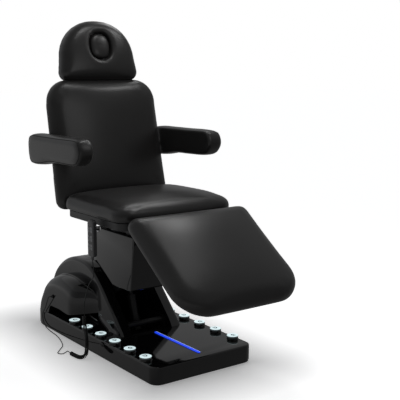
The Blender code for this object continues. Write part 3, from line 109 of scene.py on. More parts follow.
# Pads: each from its rear to its front, half its width, and its thickness at the edge
Pad = namedtuple("Pad", "rear front half thick")
SEAT_PAD = Pad(-0.134, 0.382, 0.308, 0.069)
LEG_PAD = Pad(-0.037, 0.495, 0.311, 0.060)
BACK_PAD = Pad(-0.029, 0.5875, 0.308, 0.058)
HEAD_PAD = Pad(-0.005, 0.287, 0.211, 0.069)
SEAT_FLOOR = 0.652
LEG_FLOOR = 0.027
BACK_REAR = -0.036
HEAD_REAR = -0.043
PAD_FOOT = 0.004
HOLE_UP = 0.157
HOLE_HALF = (0.056, 0.063)
ARMREST_Y = 0.307

# How the pads are filled
FILL_FRAMES = 11
FILL = {
    "quality": 4,
    "mass": 0.25,
    "tension_stiffness": 12,
    "compression_stiffness": 12,
    "shear_stiffness": 6,
    "bending_stiffness": 12.0,
    "use_pressure": True,
    "uniform_pressure_force": 3.0,
    "vertex_group_mass": "held",
}
LARGE_PAD_CALM = 14

# Signs on the foot buttons
CHEVRON = ((-0.011, -0.001), (0.0, 0.010), (0.011, -0.001),
           (0.0072, -0.005), (0.0, 0.0022), (-0.0072, -0.005))
DASH = ((-0.010, -0.0130), (0.010, -0.0130), (0.010, -0.0088), (-0.010, -0.0088))

# Angles over which a piece's edges show sharp
SHARP = 35.0
SHARP_DECK = 30.0
SHARP_HOUSING = 28.0
SHARP_COVER = 32.0

# Stage: each lamp's place, what it faces, and its size
LAMPS = {
    "key": ((0.24, 0.65, 1.98), (0.35, -0.10, 0.55), (0.40, 0.24)),
    "rim": ((-0.48, 0.60, 2.0), (0.30, -0.10, 0.72), (0.50, 0.26)),
    "top": ((0.08, 0.05, 1.95), (0.0, -0.10, 0.90), (0.34, 0.22)),
    "foot": ((0.75, 0.10, 1.42), (-0.20, -0.20, 1.00), (0.35, 0.50)),
}
NEAR_SIDE = (-0.72, -0.69, 0.05)
FOOT_END = (0.80, 0.57, 0.19)
AIR_COLOUR = (0.95, 0.97, 1.0, 1.0)
WHITE = (1.0, 1.0, 1.0)
FLOOR_HALF = 40
FLOOR_Z = -0.0005


def place(turn, spot):
    return Matrix.Translation(spot) @ Matrix.Rotation(turn, 4, "Y")


BACK = place(-BACK_LEAN, BACK_PIVOT)
LEG = place(LEG_DROP, LEG_PIVOT)
HEAD = BACK @ Matrix.Translation((0.0, 0.0, HEAD_UP))
ARMREST = Matrix.Translation(BACK @ Vector((ARMREST_PIVOT[0], 0.0, ARMREST_PIVOT[1])))
ARM_BASE = ARM_TOP - Vector((math.cos(ARM_ANGLE), 0.0, math.sin(ARM_ANGLE))) * ARM_LENGTH
LIFT = place(-ARM_ANGLE, ARM_BASE)
UPRIGHT = Matrix(((0, 0, 1, 0), (0, 1, 0, 0), (1, 0, 0, 0), (0, 0, 0, 1)))


class Field:
    """A node socket that plain arithmetic can be written on."""

    def __init__(self, tree, socket):
        self.tree = tree
        self.socket = socket

    def feed(self, slot):
        self.tree.links.new(self.socket, slot)

    def _math(self, operation, first, second):
        node = self.tree.nodes.new("ShaderNodeMath")
        node.operation = operation
        for slot, value in zip(node.inputs, (first, second)):
            connect(slot, value)
        return Field(self.tree, node.outputs[0])

    def __add__(self, other):
        return self._math("ADD", self, other)

    def __radd__(self, other):
        return self._math("ADD", other, self)

    def __sub__(self, other):
        return self._math("SUBTRACT", self, other)

    def __rsub__(self, other):
        return self._math("SUBTRACT", other, self)

    def __mul__(self, other):
        return self._math("MULTIPLY", self, other)

    def __rmul__(self, other):
        return self._math("MULTIPLY", other, self)

    def __gt__(self, other):
        return self._math("GREATER_THAN", self, other)

    def __pow__(self, other):
        return self._math("POWER", self, other)

    def __abs__(self):
        return self._math("ABSOLUTE", self, 0.0)

    def at_least(self, other):
        return self._math("MAXIMUM", self, other)

    def at_most(self, other):
        return self._math("MINIMUM", self, other)


def connect(slot, value):
    """Sets a socket to a value, or links a field to it."""
    if isinstance(value, Field):
        value.feed(slot)
    else:
        slot.default_value = value


class Nodes:
    """A node tree whose nodes are added by expression."""

    def __init__(self, tree):
        self.tree = tree

    def node(self, kind, settings=None, inputs=None, output=0):
        """Adds a node: its settings first, then the values or links of its sockets."""
        made = self.tree.nodes.new(kind)
        for key, value in (settings or {}).items():
            setattr(made, key, value)
        for key, value in (inputs or {}).items():
            connect(made.inputs[key], value)
        return None if output is None else Field(self.tree, made.outputs[output])

    def mixed(self, factor, first, second):
        """A shader between two, by a factor."""
        return self.node("ShaderNodeMixShader", None, {0: factor, 1: first, 2: second})

    def seen(self, share):
        """How far a ray takes the white background: by share where it is a reflection."""
        camera, glossy, through = (
            self.node("ShaderNodeLightPath", output=key)
            for key in ("Is Camera Ray", "Is Glossy Ray", "Is Transmission Ray"))
        return camera + through + glossy * share


class Finish(Nodes):
    """A material with its shader."""

    def __init__(self, name, **constants):
        self.material = bpy.data.materials.new(name)
        self.material.use_nodes = True
        super().__init__(self.material.node_tree)
        self.shader = self.tree.nodes["Principled BSDF"]
        self.set(**constants)

    def spot(self):
        return self.node("ShaderNodeTexCoord", output=3)

    def noise(self, scale, detail=2.0, roughness=0.5):
        return self.node("ShaderNodeTexNoise", None,
                         {"Vector": self.spot(), "Scale": scale, "Detail": detail,
                          "Roughness": roughness})

    def cells(self, scale):
        return self.node("ShaderNodeTexVoronoi", {"feature": "SMOOTH_F1"},
                         {"Vector": self.spot(), "Scale": scale})

    def blend(self, factor, first, second):
        """A colour between two, by a factor."""
        return self.node("ShaderNodeMix", {"data_type": "RGBA"},
                         {0: factor, 6: (*first, 1.0), 7: (*second, 1.0)}, 2)

    def bump(self, height, strength, distance):
        raised = self.node("ShaderNodeBump", None,
                           {"Height": height, "Strength": strength, "Distance": distance})
        connect(self.shader.inputs["Normal"], raised)

    def set(self, **sockets):
        for key, value in sockets.items():
            slot = self.shader.inputs[key.replace("_", " ")]
            colour = isinstance(value, tuple) and len(value) == 3
            connect(slot, (*value, 1.0) if colour else value)
        return self


def tone(rgb, amount):
    return tuple(c * amount for c in rgb)


def hide_finish(rgb):
    """Soft satin leatherette: a pebbled grain, a little mottling, a dull sheen."""
    hide = Finish("hide", Specular_IOR_Level=0.26, Sheen_Weight=0.03, Sheen_Roughness=0.5)
    mottle = hide.noise(7.0, 3.0)
    grain = hide.cells(820.0)
    pores = hide.noise(2300.0, 2.0)
    hide.set(Base_Color=hide.blend(mottle, tone(rgb, 0.85), tone(rgb, 1.2)),
             Roughness=0.27 + 0.07 * mottle + 0.04 * grain)
    hide.bump(grain * 0.7 + pores * 0.3, 0.16, 0.0004)
    return hide.material


def shell_finish(rgb):
    """Moulded gloss shell: a faint waviness, with fine dust that dulls it here and there."""
    shell = Finish("gloss_shell", Specular_IOR_Level=0.26, Coat_Roughness=0.03)
    haze = shell.noise(9.0, 4.0, 0.6)
    dust = shell.noise(420.0, 1.0) > 0.72
    shell.set(Base_Color=shell.blend(haze, tone(rgb, 0.9), tone(rgb, 1.15)),
              Roughness=0.05 + 0.04 * haze + 0.08 * dust,
              Coat_Weight=0.17 - 0.12 * haze)
    shell.bump(shell.noise(160.0, 1.0), 0.02, 0.0002)
    return shell.material


def coat_finish(rgb):
    """Powder coat on steel: fine orange peel, rubbed a little where it is handled."""
    coat = Finish("dark_steel", Metallic=0.20, Specular_IOR_Level=0.3)
    peel = coat.noise(900.0, 2.0)
    rub = coat.noise(14.0, 4.0)
    coat.set(Base_Color=coat.blend(rub, tone(rgb, 0.85), tone(rgb, 1.35)),
             Roughness=0.40 + 0.15 * rub)
    coat.bump(peel, 0.12, 0.0003)
    return coat.material


def plate_finish(rgb):
    """Bright plate with a faint drawn grain."""
    plate = Finish("bright_steel", Metallic=1.0)
    grain = plate.noise(600.0, 2.0)
    film = plate.noise(20.0, 3.0)
    plate.set(Base_Color=plate.blend(film, tone(rgb, 0.9), tone(rgb, 1.05)),
              Roughness=0.14 + 0.08 * film)
    plate.bump(grain, 0.03, 0.0002)
    return plate.material


def plastic_finish(name, rgb, roughness):
    """Spark-eroded plastic."""
    plastic = Finish(name, Specular_IOR_Level=0.28)
    texture = plastic.noise(1400.0, 2.0)
    patch = plastic.noise(18.0, 3.0)
    plastic.set(Base_Color=plastic.blend(patch, tone(rgb, 0.88), tone(rgb, 1.12)),
                Roughness=roughness + 0.08 * patch)
    plastic.bump(texture, 0.15, 0.0002)
    return plastic.material


def lens_finish(name, rgb, glow, strength):
    """A lit lens: brighter in the middle of its grain than at its flecks."""
    lens = Finish(name, Specular_IOR_Level=0.5, Roughness=0.18, Emission_Strength=strength)
    fleck = lens.noise(500.0, 2.0)
    lens.set(Base_Color=lens.blend(fleck, tone(rgb, 0.9), rgb),
             Emission_Color=lens.blend(fleck, tone(glow, 0.9), glow))
    return lens.material


def rubber_finish(rgb):
    """Cord rubber with a faint dull bloom."""
    rubber = Finish("cord_rubber", Specular_IOR_Level=0.25)
    bloom = rubber.noise(60.0, 3.0)
    rubber.set(Base_Color=rubber.blend(bloom, tone(rgb, 0.8), tone(rgb, 1.3)),
               Roughness=0.45 + 0.15 * bloom)
    rubber.bump(rubber.noise(1800.0, 1.0), 0.08, 0.0002)
    return rubber.material


FINISHES = {}


def finish(slot):
    """The material of one of the record's slots, made once."""
    if slot not in FINISHES:
        look = bpy.context.scene.bed_finishes
        makers = {
            "hide": lambda: hide_finish(look.hide),
            "gloss_shell": lambda: shell_finish(look.shell),
            "dark_steel": lambda: coat_finish(look.steel),
            "bright_steel": lambda: plate_finish(look.plate),
            "dark_plastic": lambda: plastic_finish("dark_plastic", look.plastic, 0.42),
            "grey_plastic": lambda: plastic_finish("grey_plastic", look.handset, 0.38),
            "pale_key": lambda: plastic_finish("pale_key", look.key, 0.34),
            "lit_lens": lambda: lens_finish(
                "lit_lens", (0.72, 0.9, 0.93), look.button_glow, 0.75),
            "lens_side": lambda: lens_finish(
                "lens_side", (0.01, 0.03, 0.035), tone(look.button_glow, 0.05), 1.0),
            "blue_lens": lambda: lens_finish(
                "blue_lens", (0.02, 0.06, 0.3), look.strip_glow, 1.0),
            "strip_edge": lambda: lens_finish(
                "strip_edge", (0.3, 0.4, 0.6), (0.55, 0.72, 1.0), 1.0),
            "cord_rubber": lambda: rubber_finish(look.rubber),
            "seam": lambda: plastic_finish("seam", (0.002, 0.002, 0.002), 0.75),
            "mark": lambda: plastic_finish("mark", (0.006, 0.03, 0.036), 0.5),
        }
        FINISHES[slot] = makers[slot]()
    return FINISHES[slot]


def arc(centre, radius, start, end, steps):
    """Points on an arc, its ends in degrees."""
    points = []
    for i in range(steps + 1):
        a = math.radians(start + (end - start) * i / steps)
        points.append((centre[0] + radius * math.cos(a), centre[1] + radius * math.sin(a)))
    return points


def circle(sides):
    """The cosine and sine of even steps round a circle."""
    return [(math.cos(2 * math.pi * i / sides), math.sin(2 * math.pi * i / sides))
            for i in range(sides)]


def level(ring, z):
    """A ring in X and Y at one height."""
    return [(x, y, z) for x, y in ring]


def line_length(points):
    return sum((b - a).length for a, b in zip(points, points[1:]))


def ease(value, low, high):
    """A smooth step from 0 to 1."""
    t = min(max((value - low) / (high - low), 0.0), 1.0)
    return t * t * (3 - 2 * t)


def bend(points, steps, closed=False):
    """A smooth line through points of any dimension."""
    pts = [Vector(p) for p in points]
    count = len(pts)
    out = []
    for i in range(count if closed else count - 1):
        if closed:
            a, b, c, d = (pts[(i + k) % count] for k in (-1, 0, 1, 2))
        else:
            a, b = pts[max(i - 1, 0)], pts[i]
            c, d = pts[i + 1], pts[min(i + 2, count - 1)]
        for k in range(steps):
            t = k / steps
            out.append(0.5 * (2 * b + (c - a) * t
                              + (2 * a - 5 * b + 4 * c - d) * t * t
                              + (3 * b - 3 * c + d - a) * t ** 3))
    if not closed:
        out.append(pts[-1])
    return out


def inset(outline, amount):
    """A closed outline moved inwards along its corner directions."""
    pts = [Vector(p[:2]) for p in outline]
    turn = sum(a.x * b.y - b.x * a.y for a, b in zip(pts, pts[1:] + pts[:1]))
    side = 1.0 if turn > 0 else -1.0
    moved = []
    for i, p in enumerate(pts):
        e1 = (p - pts[i - 1]).normalized()
        e2 = (pts[(i + 1) % len(pts)] - p).normalized()
        n1 = Vector((-e1.y, e1.x)) * side
        n = (n1 + Vector((-e2.y, e2.x)) * side).normalized()
        moved.append(p + n * (amount / max(n.dot(n1), 0.5)))
    return [(p.x, p.y) for p in moved]


def rounded(x0, x1, half, radii, steps=10, mids=0, taper=0.0):
    """A four-sided ring in X and Y with round corners."""
    r0, r1 = radii
    end = half - taper
    corners = (((x0 + r0, -half + r0), r0, 180), ((x1 - r1, -end + r1), r1, 270),
               ((x1 - r1, end - r1), r1, 0), ((x0 + r0, half - r0), r0, 90))
    ring = []
    for k, (centre, r, start) in enumerate(corners):
        ring += arc(centre, r, start, start + 90, steps)
        after, r2, start2 = corners[(k + 1) % 4]
        a = Vector(ring[-1])
        side = Vector(arc(after, r2, start2, start2 + 90, 1)[0]) - a
        for m in range(1, mids + 1):
            ring.append(tuple(a + side * (m / (mids + 1))))
    return ring


def loft(rings):
    """A closed body through rings of equal counts."""
    bm = bmesh.new()
    rows = [[bm.verts.new(p) for p in ring] for ring in rings]
    for low, high in zip(rows, rows[1:]):
        for i in range(len(low)):
            j = (i + 1) % len(low)
            bm.faces.new((low[i], low[j], high[j], high[i]))
    bm.faces.new(list(reversed(rows[0])))
    bm.faces.new(rows[-1])
    bmesh.ops.recalc_face_normals(bm, faces=bm.faces)
    return bm


def swept(outline, ys):
    """An outline in X and Z drawn out along Y."""
    return loft([[(x, y, z) for x, z in outline] for y in ys])


def block(low, high):
    """A square-edged block between two corners."""
    ring = ((low[0], low[1]), (high[0], low[1]), (high[0], high[1]), (low[0], high[1]))
    return loft([level(ring, z) for z in (low[2], high[2])])


def turned(spot, profile, sides=40):
    """A turned body about a vertical line: (radius, height) pairs from low to high."""
    return loft([[(spot[0] + r * c, spot[1] + r * s, h) for c, s in circle(sides)]
                 for r, h in profile])


def bar(start, end, radius, sides=24, second=None):
    """A round bar between two points, tapered where a second radius is given."""
    start, end = Vector(start), Vector(end)
    way = (end - start).normalized()
    side = way.orthogonal().normalized()
    other = way.cross(side)
    rings = []
    for centre, r in ((start, radius), (end, radius if second is None else second)):
        rings.append([centre + side * (r * c) + other * (r * s) for c, s in circle(sides)])
    return loft(rings)


def merged(bodies):
    """Several bodies in one mesh."""
    whole = bmesh.new()
    for body in bodies:
        mesh = bpy.data.meshes.new("merged")
        body.to_mesh(mesh)
        body.free()
        whole.from_mesh(mesh)
        bpy.data.meshes.remove(mesh)
    return whole


def piece(name, bm, slots, at=None):
    """An object of a mesh, smooth but for its sharp edges."""
    if at is not None:
        bm.transform(at)
    bmesh.ops.recalc_face_normals(bm, faces=bm.faces)
    mesh = bpy.data.meshes.new(name)
    bm.to_mesh(mesh)
    bm.free()
    made = bpy.data.objects.new(name, mesh)
    bpy.context.scene.collection.objects.link(made)
    for slot in slots if isinstance(slots, tuple) else (slots,):
        mesh.materials.append(finish(slot))
    shade(made, SHARP)
    return made


def shade(made, sharp):
    """Shades an object smooth but for edges over an angle in degrees."""
    bm = bmesh.new()
    bm.from_mesh(made.data)
    for face in bm.faces:
        face.smooth = True
    for edge in bm.edges:
        edge.smooth = edge.calc_face_angle(0.0) < math.radians(sharp)
    bm.to_mesh(made.data)
    bm.free()


def settle(made):
    """Fixes an object's modifiers into its mesh."""
    bpy.context.view_layer.update()
    graph = bpy.context.evaluated_depsgraph_get()
    mesh = bpy.data.meshes.new_from_object(made.evaluated_get(graph))
    old = made.data
    made.modifiers.clear()
    made.data = mesh
    bpy.data.meshes.remove(old)
    mesh.name = made.name
    return made


def carve(made, body, how="DIFFERENCE"):
    """Joins a body to an object or cuts it away."""
    mesh = bpy.data.meshes.new("tool")
    bmesh.ops.recalc_face_normals(body, faces=body.faces)
    body.to_mesh(mesh)
    body.free()
    tool = bpy.data.objects.new("tool", mesh)
    bpy.context.scene.collection.objects.link(tool)
    mod = made.modifiers.new("carve", "BOOLEAN")
    mod.operation = how
    mod.solver = "EXACT"
    mod.object = tool
    settle(made)
    bpy.data.objects.remove(tool, do_unlink=True)
    bpy.data.meshes.remove(mesh)
    return made


def soften(made, width, segments):
    """Rounds an object's edges."""
    mod = made.modifiers.new("soften", "BEVEL")
    mod.width = width
    mod.segments = segments
    mod.limit_method = "ANGLE"
    return settle(made)


def tube_mesh(points, radius, sides=10):
    """A round tube along a line of points, closed at both ends."""
    pts = [Vector(p) for p in points]
    side = (pts[1] - pts[0]).orthogonal().normalized()
    rings = []
    for i, p in enumerate(pts):
        way = (pts[min(i + 1, len(pts) - 1)] - pts[max(i - 1, 0)]).normalized()
        side = (side - way * side.dot(way)).normalized()
        other = way.cross(side)
        rings.append([p + side * (radius * c) + other * (radius * s) for c, s in circle(sides)])
    return loft(rings)


def attach(made, body, slot, *nodes):
    """Rides a piece on its body in the place of CAD nodes."""
    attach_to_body(made, body)
    if nodes:
        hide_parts(*nodes)
    return made


def dress(slot, *nodes):
    """Gives CAD nodes that stay a finish."""
    for node in nodes:
        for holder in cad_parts[node].material_slots:
            holder.material = finish(slot)


def pad_form(pad, radii, edge, low_edge, taper=0.0):
    """An upholstered pad from z = 0 with a soft upper edge and a flat top."""
    def ring(step, z):
        eased = [min(max(r - step, 0.012), 0.96 * (pad.half - step)) for r in radii]
        fit = min(1.0, 0.96 * (pad.front - pad.rear - 2 * step) / sum(eased))
        flat = rounded(pad.rear + step, pad.front - step, pad.half - step,
                       [r * fit for r in eased], 8, 8, taper * (1 - step / pad.half))
        return level(flat, z)

    rings = []
    for i in range(6):
        a = math.radians(18 * i)
        rings.append(ring(low_edge * (1 - math.sin(a)), low_edge * (1 - math.cos(a))))
    for i in range(7):
        a = math.radians(15 * i)
        rings.append(ring(edge * (1 - math.cos(a)), pad.thick - edge * 0.8 * (1 - math.sin(a))))
    return loft(rings)


def crowned(pad, crown, across=2.4, along=2.4):
    """How far a pad rises over its flat form: a higher power leaves a flatter middle."""
    middle, reach = 0.5 * (pad.rear + pad.front), 0.5 * (pad.front - pad.rear)

    def rise(p):
        s = min(abs(p.x - middle) / reach, 1.0)
        t = min(abs(p.y) / pad.half, 1.0)
        upper = ease(p.z, 0.35 * pad.thick, 0.85 * pad.thick)
        return crown * (1 - s ** along) * (1 - t ** across) * upper
    return rise


def plump(made, held, cap, voxel=0.006, rise=None, local=None, calm=5):
    """Fills a pad: an even mesh, crowned, then swelled as cloth by no more than cap."""
    mod = made.modifiers.new("even", "REMESH")
    mod.mode = "VOXEL"
    mod.voxel_size = voxel
    mod.use_smooth_shade = True
    settle(made)
    relax(made, 2)
    if rise is not None:
        back_to = local.inverted()
        up = local.to_3x3() @ Vector((0.0, 0.0, 1.0))
        for v in made.data.vertices:
            v.co += up * rise(back_to @ v.co)
    mesh = made.data
    start = [v.co.copy() for v in mesh.vertices]
    group = made.vertex_groups.new(name="held")
    for index, co in enumerate(start):
        weight = held(co)
        if weight > 0:
            group.add([index], weight, "REPLACE")
    fill = made.modifiers.new("fill", "CLOTH")
    for key, value in FILL.items():
        setattr(fill.settings, key, value)
    fill.settings.effector_weights.gravity = 0.0
    fill.collision_settings.use_collision = False
    fill.point_cache.frame_start = 1
    fill.point_cache.frame_end = FILL_FRAMES
    scene = bpy.context.scene
    for moment in range(1, FILL_FRAMES + 1):
        scene.frame_set(moment)
    graph = bpy.context.evaluated_depsgraph_get()
    full = made.evaluated_get(graph).to_mesh()
    ends = [v.co.copy() for v in full.vertices]
    made.evaluated_get(graph).to_mesh_clear()
    made.modifiers.clear()
    made.vertex_groups.clear()
    scene.frame_set(1)
    for v, a, b in zip(mesh.vertices, start, ends):
        way = b - a
        v.co = a + way * (min(way.length, cap) / max(way.length, 1e-9))
    relax(made, calm)
    finer = made.modifiers.new("finer", "SUBSURF")
    finer.levels = 1
    finer.render_levels = 1
    return settle(made)


def relax(made, rounds):
    """Evens out a mesh's ripples."""
    bm = bmesh.new()
    bm.from_mesh(made.data)
    for _ in range(rounds):
        bmesh.ops.smooth_vert(bm, verts=bm.verts, factor=0.5,
                              use_axis_x=True, use_axis_y=True, use_axis_z=True)
    for face in bm.faces:
        face.smooth = True
    bm.to_mesh(made.data)
    bm.free()


def upholster(name, form, spot, body, node, rise):
    """A simulated pad in its place: its flat side stays where it rests."""
    back_to = spot.inverted()
    pad = piece(name, form, "hide", spot)
    plump(pad, lambda co: 1.0 if (back_to @ co).z < PAD_FOOT else 0.0, 0.004, rise=rise, local=spot,
          calm=LARGE_PAD_CALM)
    attach(pad, body, "hide", node)


def make_seat():
    form = pad_form(SEAT_PAD, (0.050, 0.075), 0.044, 0.008)
    dome = crowned(SEAT_PAD, bpy.context.scene.bed_sizes.seat_crown)

    def rise(p):
        """The dome, a little lower at the front where knees bend."""
        return dome(p) - 0.006 * ease(p.x, 0.210, 0.372) * ease(p.z, 0.025, 0.058)

    spot = Matrix.Translation((0.0, 0.0, SEAT_FLOOR))
    upholster("seat_pad", form, spot, "carrier", "seat_cushion", rise)


def make_leg():
    form = pad_form(LEG_PAD, (0.045, 0.142), 0.042, 0.007)
    rise = crowned(LEG_PAD, bpy.context.scene.bed_sizes.leg_crown, 2.2, 4.0)
    spot = LEG @ Matrix.Translation((0.0, 0.0, LEG_FLOOR))
    upholster("leg_pad", form, spot, "leg", "leg_cushion", rise)


def make_back():
    form = pad_form(BACK_PAD, (0.045, 0.115), 0.042, 0.007, 0.008)
    pad = piece("back_pad", form, "hide", UPRIGHT)
    pad.data.transform(Matrix.Translation((BACK_REAR, 0.0, 0.0)))
    carve(pad, block((-0.06, -0.225, -0.06), (0.0170, 0.225, 0.0503)))
    pad.data.transform(BACK)
    back_to = BACK.inverted()

    def held(co):
        """The rear face, and the notch over the hinge."""
        p = back_to @ co
        return 1.0 if p.x < -0.031 or (p.z < 0.058 and p.x < 0.024) else 0.0

    plump(pad, held, 0.004,
          rise=crowned(BACK_PAD, bpy.context.scene.bed_sizes.back_crown, 2.2, 3.6),
          local=BACK @ Matrix.Translation((BACK_REAR, 0.0, 0.0)) @ UPRIGHT,
          calm=LARGE_PAD_CALM)
    attach(pad, "back", "hide", "back_cushion")


def oval(half_w, half_h, count=48, square=2.5):
    """A ring between an ellipse and a rectangle."""
    ring = []
    for c, t in circle(count):
        reach = (abs(c) ** square + abs(t) ** square) ** (-1 / square)
        ring.append((half_w * c * reach, half_h * t * reach))
    return ring


def hole_rings(spans):
    """Rings of the face hole, from pairs of a height and how much wider the hole is there."""
    return [[(HOLE_UP + h, y, z) for y, h in oval(HOLE_HALF[0] + more, HOLE_HALF[1] + more)]
            for z, more in spans]


def hole_reach(p):
    """How far a point is from the middle of the face hole, where 1 is on its edge."""
    return math.hypot(p.y / HOLE_HALF[0], (p.x - HOLE_UP) / HOLE_HALF[1])


def make_head():
    thick = HEAD_PAD.thick
    spot = HEAD @ Matrix.Translation((HEAD_REAR, 0.0, 0.0)) @ UPRIGHT
    back_to = spot.inverted()
    form = pad_form(HEAD_PAD, (0.042, 0.190), 0.044, 0.006, 0.010)
    pad = piece("head_pad", form, "hide", spot)
    bore = loft(hole_rings(((-0.05, 0.0010), (thick - 0.032, 0.0010), (thick - 0.018, 0.0030),
                            (thick - 0.008, 0.0042), (thick - 0.002, 0.0070),
                            (thick + 0.02, 0.024))))
    bore.transform(spot)
    carve(pad, bore)
    dome = crowned(HEAD_PAD, bpy.context.scene.bed_sizes.head_crown, 2.0)

    def rise(p):
        """The dome, drawn in round the face hole."""
        dip = math.exp(-(max(hole_reach(p) - 1.0, 0.0) / 0.24) ** 2)
        return dome(p) - 0.006 * dip * ease(p.z, 0.5 * thick, 0.9 * thick)

    def held(co):
        p = back_to @ co
        bored = hole_reach(p) < 1.12 and p.z < thick - 0.02
        return 1.0 if p.z < PAD_FOOT or bored else 0.0

    plump(pad, held, 0.003, 0.005, rise, spot)
    attach(pad, "head", "hide", "head_cushion")

    front = thick + 0.012
    stem = loft(hole_rings(((0.002, -0.003), (0.005, -0.0004), (front - 0.040, -0.0004),
                            (front - 0.024, -0.0022), (front - 0.012, -0.0045),
                            (front - 0.006, -0.011), (front - 0.002, -0.024), (front, -0.042))))
    plug = piece("face_plug_pad", stem, "hide", spot)
    plump(plug, lambda co: 1.0 if (back_to @ co).z < front - 0.034 else 0.0, 0.0018, 0.004)
    attach(plug, "face_plug", "hide", "face_plug")


def armrest_outline(steps):
    """The armrest's side outline about its pivot: level top, wavy lower edge, round front."""
    rear, front, low, top = -0.046, 0.455, -0.051, 0.079
    points = ((rear + 0.004, low + 0.030), (rear + 0.030, low - 0.006),
              (rear + 0.110, low - 0.006), (rear + 0.210, low + 0.010),
              (rear + 0.310, low + 0.012), (front - 0.060, low + 0.016),
              (front - 0.020, low + 0.036), (front, low + 0.072), (front - 0.012, top - 0.018),
              (front - 0.050, top), (rear + 0.300, top), (rear + 0.150, top),
              (rear + 0.035, top - 0.002), (rear + 0.002, top - 0.030))
    return [(p.x, p.y) for p in bend(points, steps, True)]


def make_armrests():
    welt_radius = bpy.context.scene.bed_sizes.welt
    outline = armrest_outline(8)
    spans = ((0.002, 0.009), (0.006, 0.002), (0.014, -0.001), (0.030, -0.002), (0.050, -0.002),
             (0.062, -0.001), (0.070, 0.001), (0.0755, 0.006), (0.0775, 0.012), (0.078, 0.022))
    for side, label in SIDES:
        rings = [[(x, side * (ARMREST_Y + y), z) for x, z in inset(outline, step)]
                 for y, step in spans]
        spot = ARMREST @ Matrix.Translation((0.0, 0.0, 0.003 + 0.004 * side))
        pad = piece(f"armrest_cushion_{label}", loft(rings), "hide", spot)
        plump(pad, lambda co: 1.0 if abs(co.y) < ARMREST_Y + 0.006 else 0.0, 0.002, 0.005)
        line = []
        for x, z in inset(outline, 0.0035):
            near = spot @ Vector((x, side * (ARMREST_Y + 0.0765), z))
            line.append(pad.closest_point_on_mesh(near)[1])
        attach(pad, f"armrest_{label}", "hide", f"armrest_pad_{label}")
        welt = piece(f"armrest_welt_{label}", tube_mesh(line + line[:1], welt_radius, 8), "seam")
        attach(welt, f"armrest_{label}", "hide")


def base_ring(step, z):
    """The base's outline at a height, drawn in by a step."""
    ring = rounded(-BASE_HALF[0] + step, BASE_HALF[0] - step, BASE_HALF[1] - step,
                   tuple(r - step for r in BASE_RADII), 12)
    return level(ring, z)


def make_base():
    edge = 0.009
    rings = [base_ring(0.0, DECK_LOW), base_ring(0.0, DECK_Z - edge)]
    for i in range(1, 7):
        a = math.radians(15 * i)
        rings.append(base_ring(edge * (1 - math.cos(a)), DECK_Z - edge * (1 - math.sin(a))))
    deck = piece("deck", loft(rings), "gloss_shell")
    wall = 0.0045
    carve(deck, loft([base_ring(wall, DECK_LOW - 0.01), base_ring(wall, DECK_Z - wall)]))
    openings = [block((-0.50, -SLOT_HALF, DECK_Z - 0.03), (0.12, SLOT_HALF, DECK_Z + 0.03))]
    button_spots = [(x, side * BUTTON_Y) for side in (-1, 1) for x in BUTTON_X]
    hole = BUTTON_R + 0.001
    openings += [turned(spot, ((hole, DECK_Z - 0.03), (hole, DECK_Z + 0.03)))
                 for spot in button_spots]
    carve(deck, merged(openings))
    outer = BUTTON_R + 0.002
    inner = BUTTON_R + 0.0006
    profile = ((inner, DECK_Z - 0.004), (outer + 0.001, DECK_Z - 0.004),
               (outer + 0.001, DECK_Z + 0.0002), (outer, DECK_Z + 0.0012),
               (outer - 0.0008, DECK_Z + 0.0085), (outer - 0.0014, DECK_Z + 0.0093),
               (inner + 0.0006, DECK_Z + 0.0095), (inner, DECK_Z + 0.0090))
    carve(deck, merged([collar(spot, profile) for spot in button_spots]), "UNION")
    shade(deck, SHARP_DECK)
    attach(deck, "base", "gloss_shell", "deck_cover")
    dress("dark_steel", "base_pan")
    dress("grey_plastic", "control_box")


def collar(spot, profile, sides=40):
    """A turned ring about a vertical line, its section a closed line of (radius, height) pairs."""
    bm = bmesh.new()
    rows = [[bm.verts.new((spot[0] + r * c, spot[1] + r * s, h)) for r, h in profile]
            for c, s in circle(sides)]
    for i, row in enumerate(rows):
        after = rows[(i + 1) % sides]
        for k in range(len(profile)):
            j = (k + 1) % len(profile)
            bm.faces.new((row[k], after[k], after[j], row[j]))
    bmesh.ops.recalc_face_normals(bm, faces=bm.faces)
    return bm


def sign(shape, spot, turn, z):
    """A small flat sign on a button."""
    c, s = math.cos(turn), math.sin(turn)
    ring = [(spot[0] + x * c - y * s, spot[1] + x * s + y * c) for x, y in shape]
    return loft([level(ring, h) for h in (z - 0.0002, z + 0.0003)])


def make_buttons():
    low, top = BUTTON_TOP - 0.016, BUTTON_TOP
    profile = ((BUTTON_R - 0.0015, low), (BUTTON_R, low + 0.001), (BUTTON_R, top - 0.0042),
               (BUTTON_R + 0.0013, top - 0.0038), (BUTTON_R + 0.0014, top - 0.0020),
               (BUTTON_R + 0.0010, top - 0.0009), (BUTTON_R - 0.0004, top - 0.0003),
               (BUTTON_R - 0.006, top - 0.0001), (0.006, top))
    for side, label in SIDES:
        for k, x in enumerate(BUTTON_X):
            spot = (x, side * BUTTON_Y)
            cap = turned(spot, profile)
            for face in cap.faces:
                face.material_index = 1 if face.calc_center_median().z < top - 0.0024 else 0
            turn = (math.pi / 2 if k % 2 else -math.pi / 2) + (0.0 if side < 0 else math.pi)
            marks = merged([sign(shape, spot, turn, top) for shape in (CHEVRON, DASH)])
            for face in marks.faces:
                face.material_index = 2
            button = piece(f"lit_button_{label}_{k + 1}", merged([cap, marks]),
                           ("lit_lens", "lens_side", "mark"))
            node = f"foot_button_{label}_{k + 1}"
            attach(button, node, "lit_lens", node)


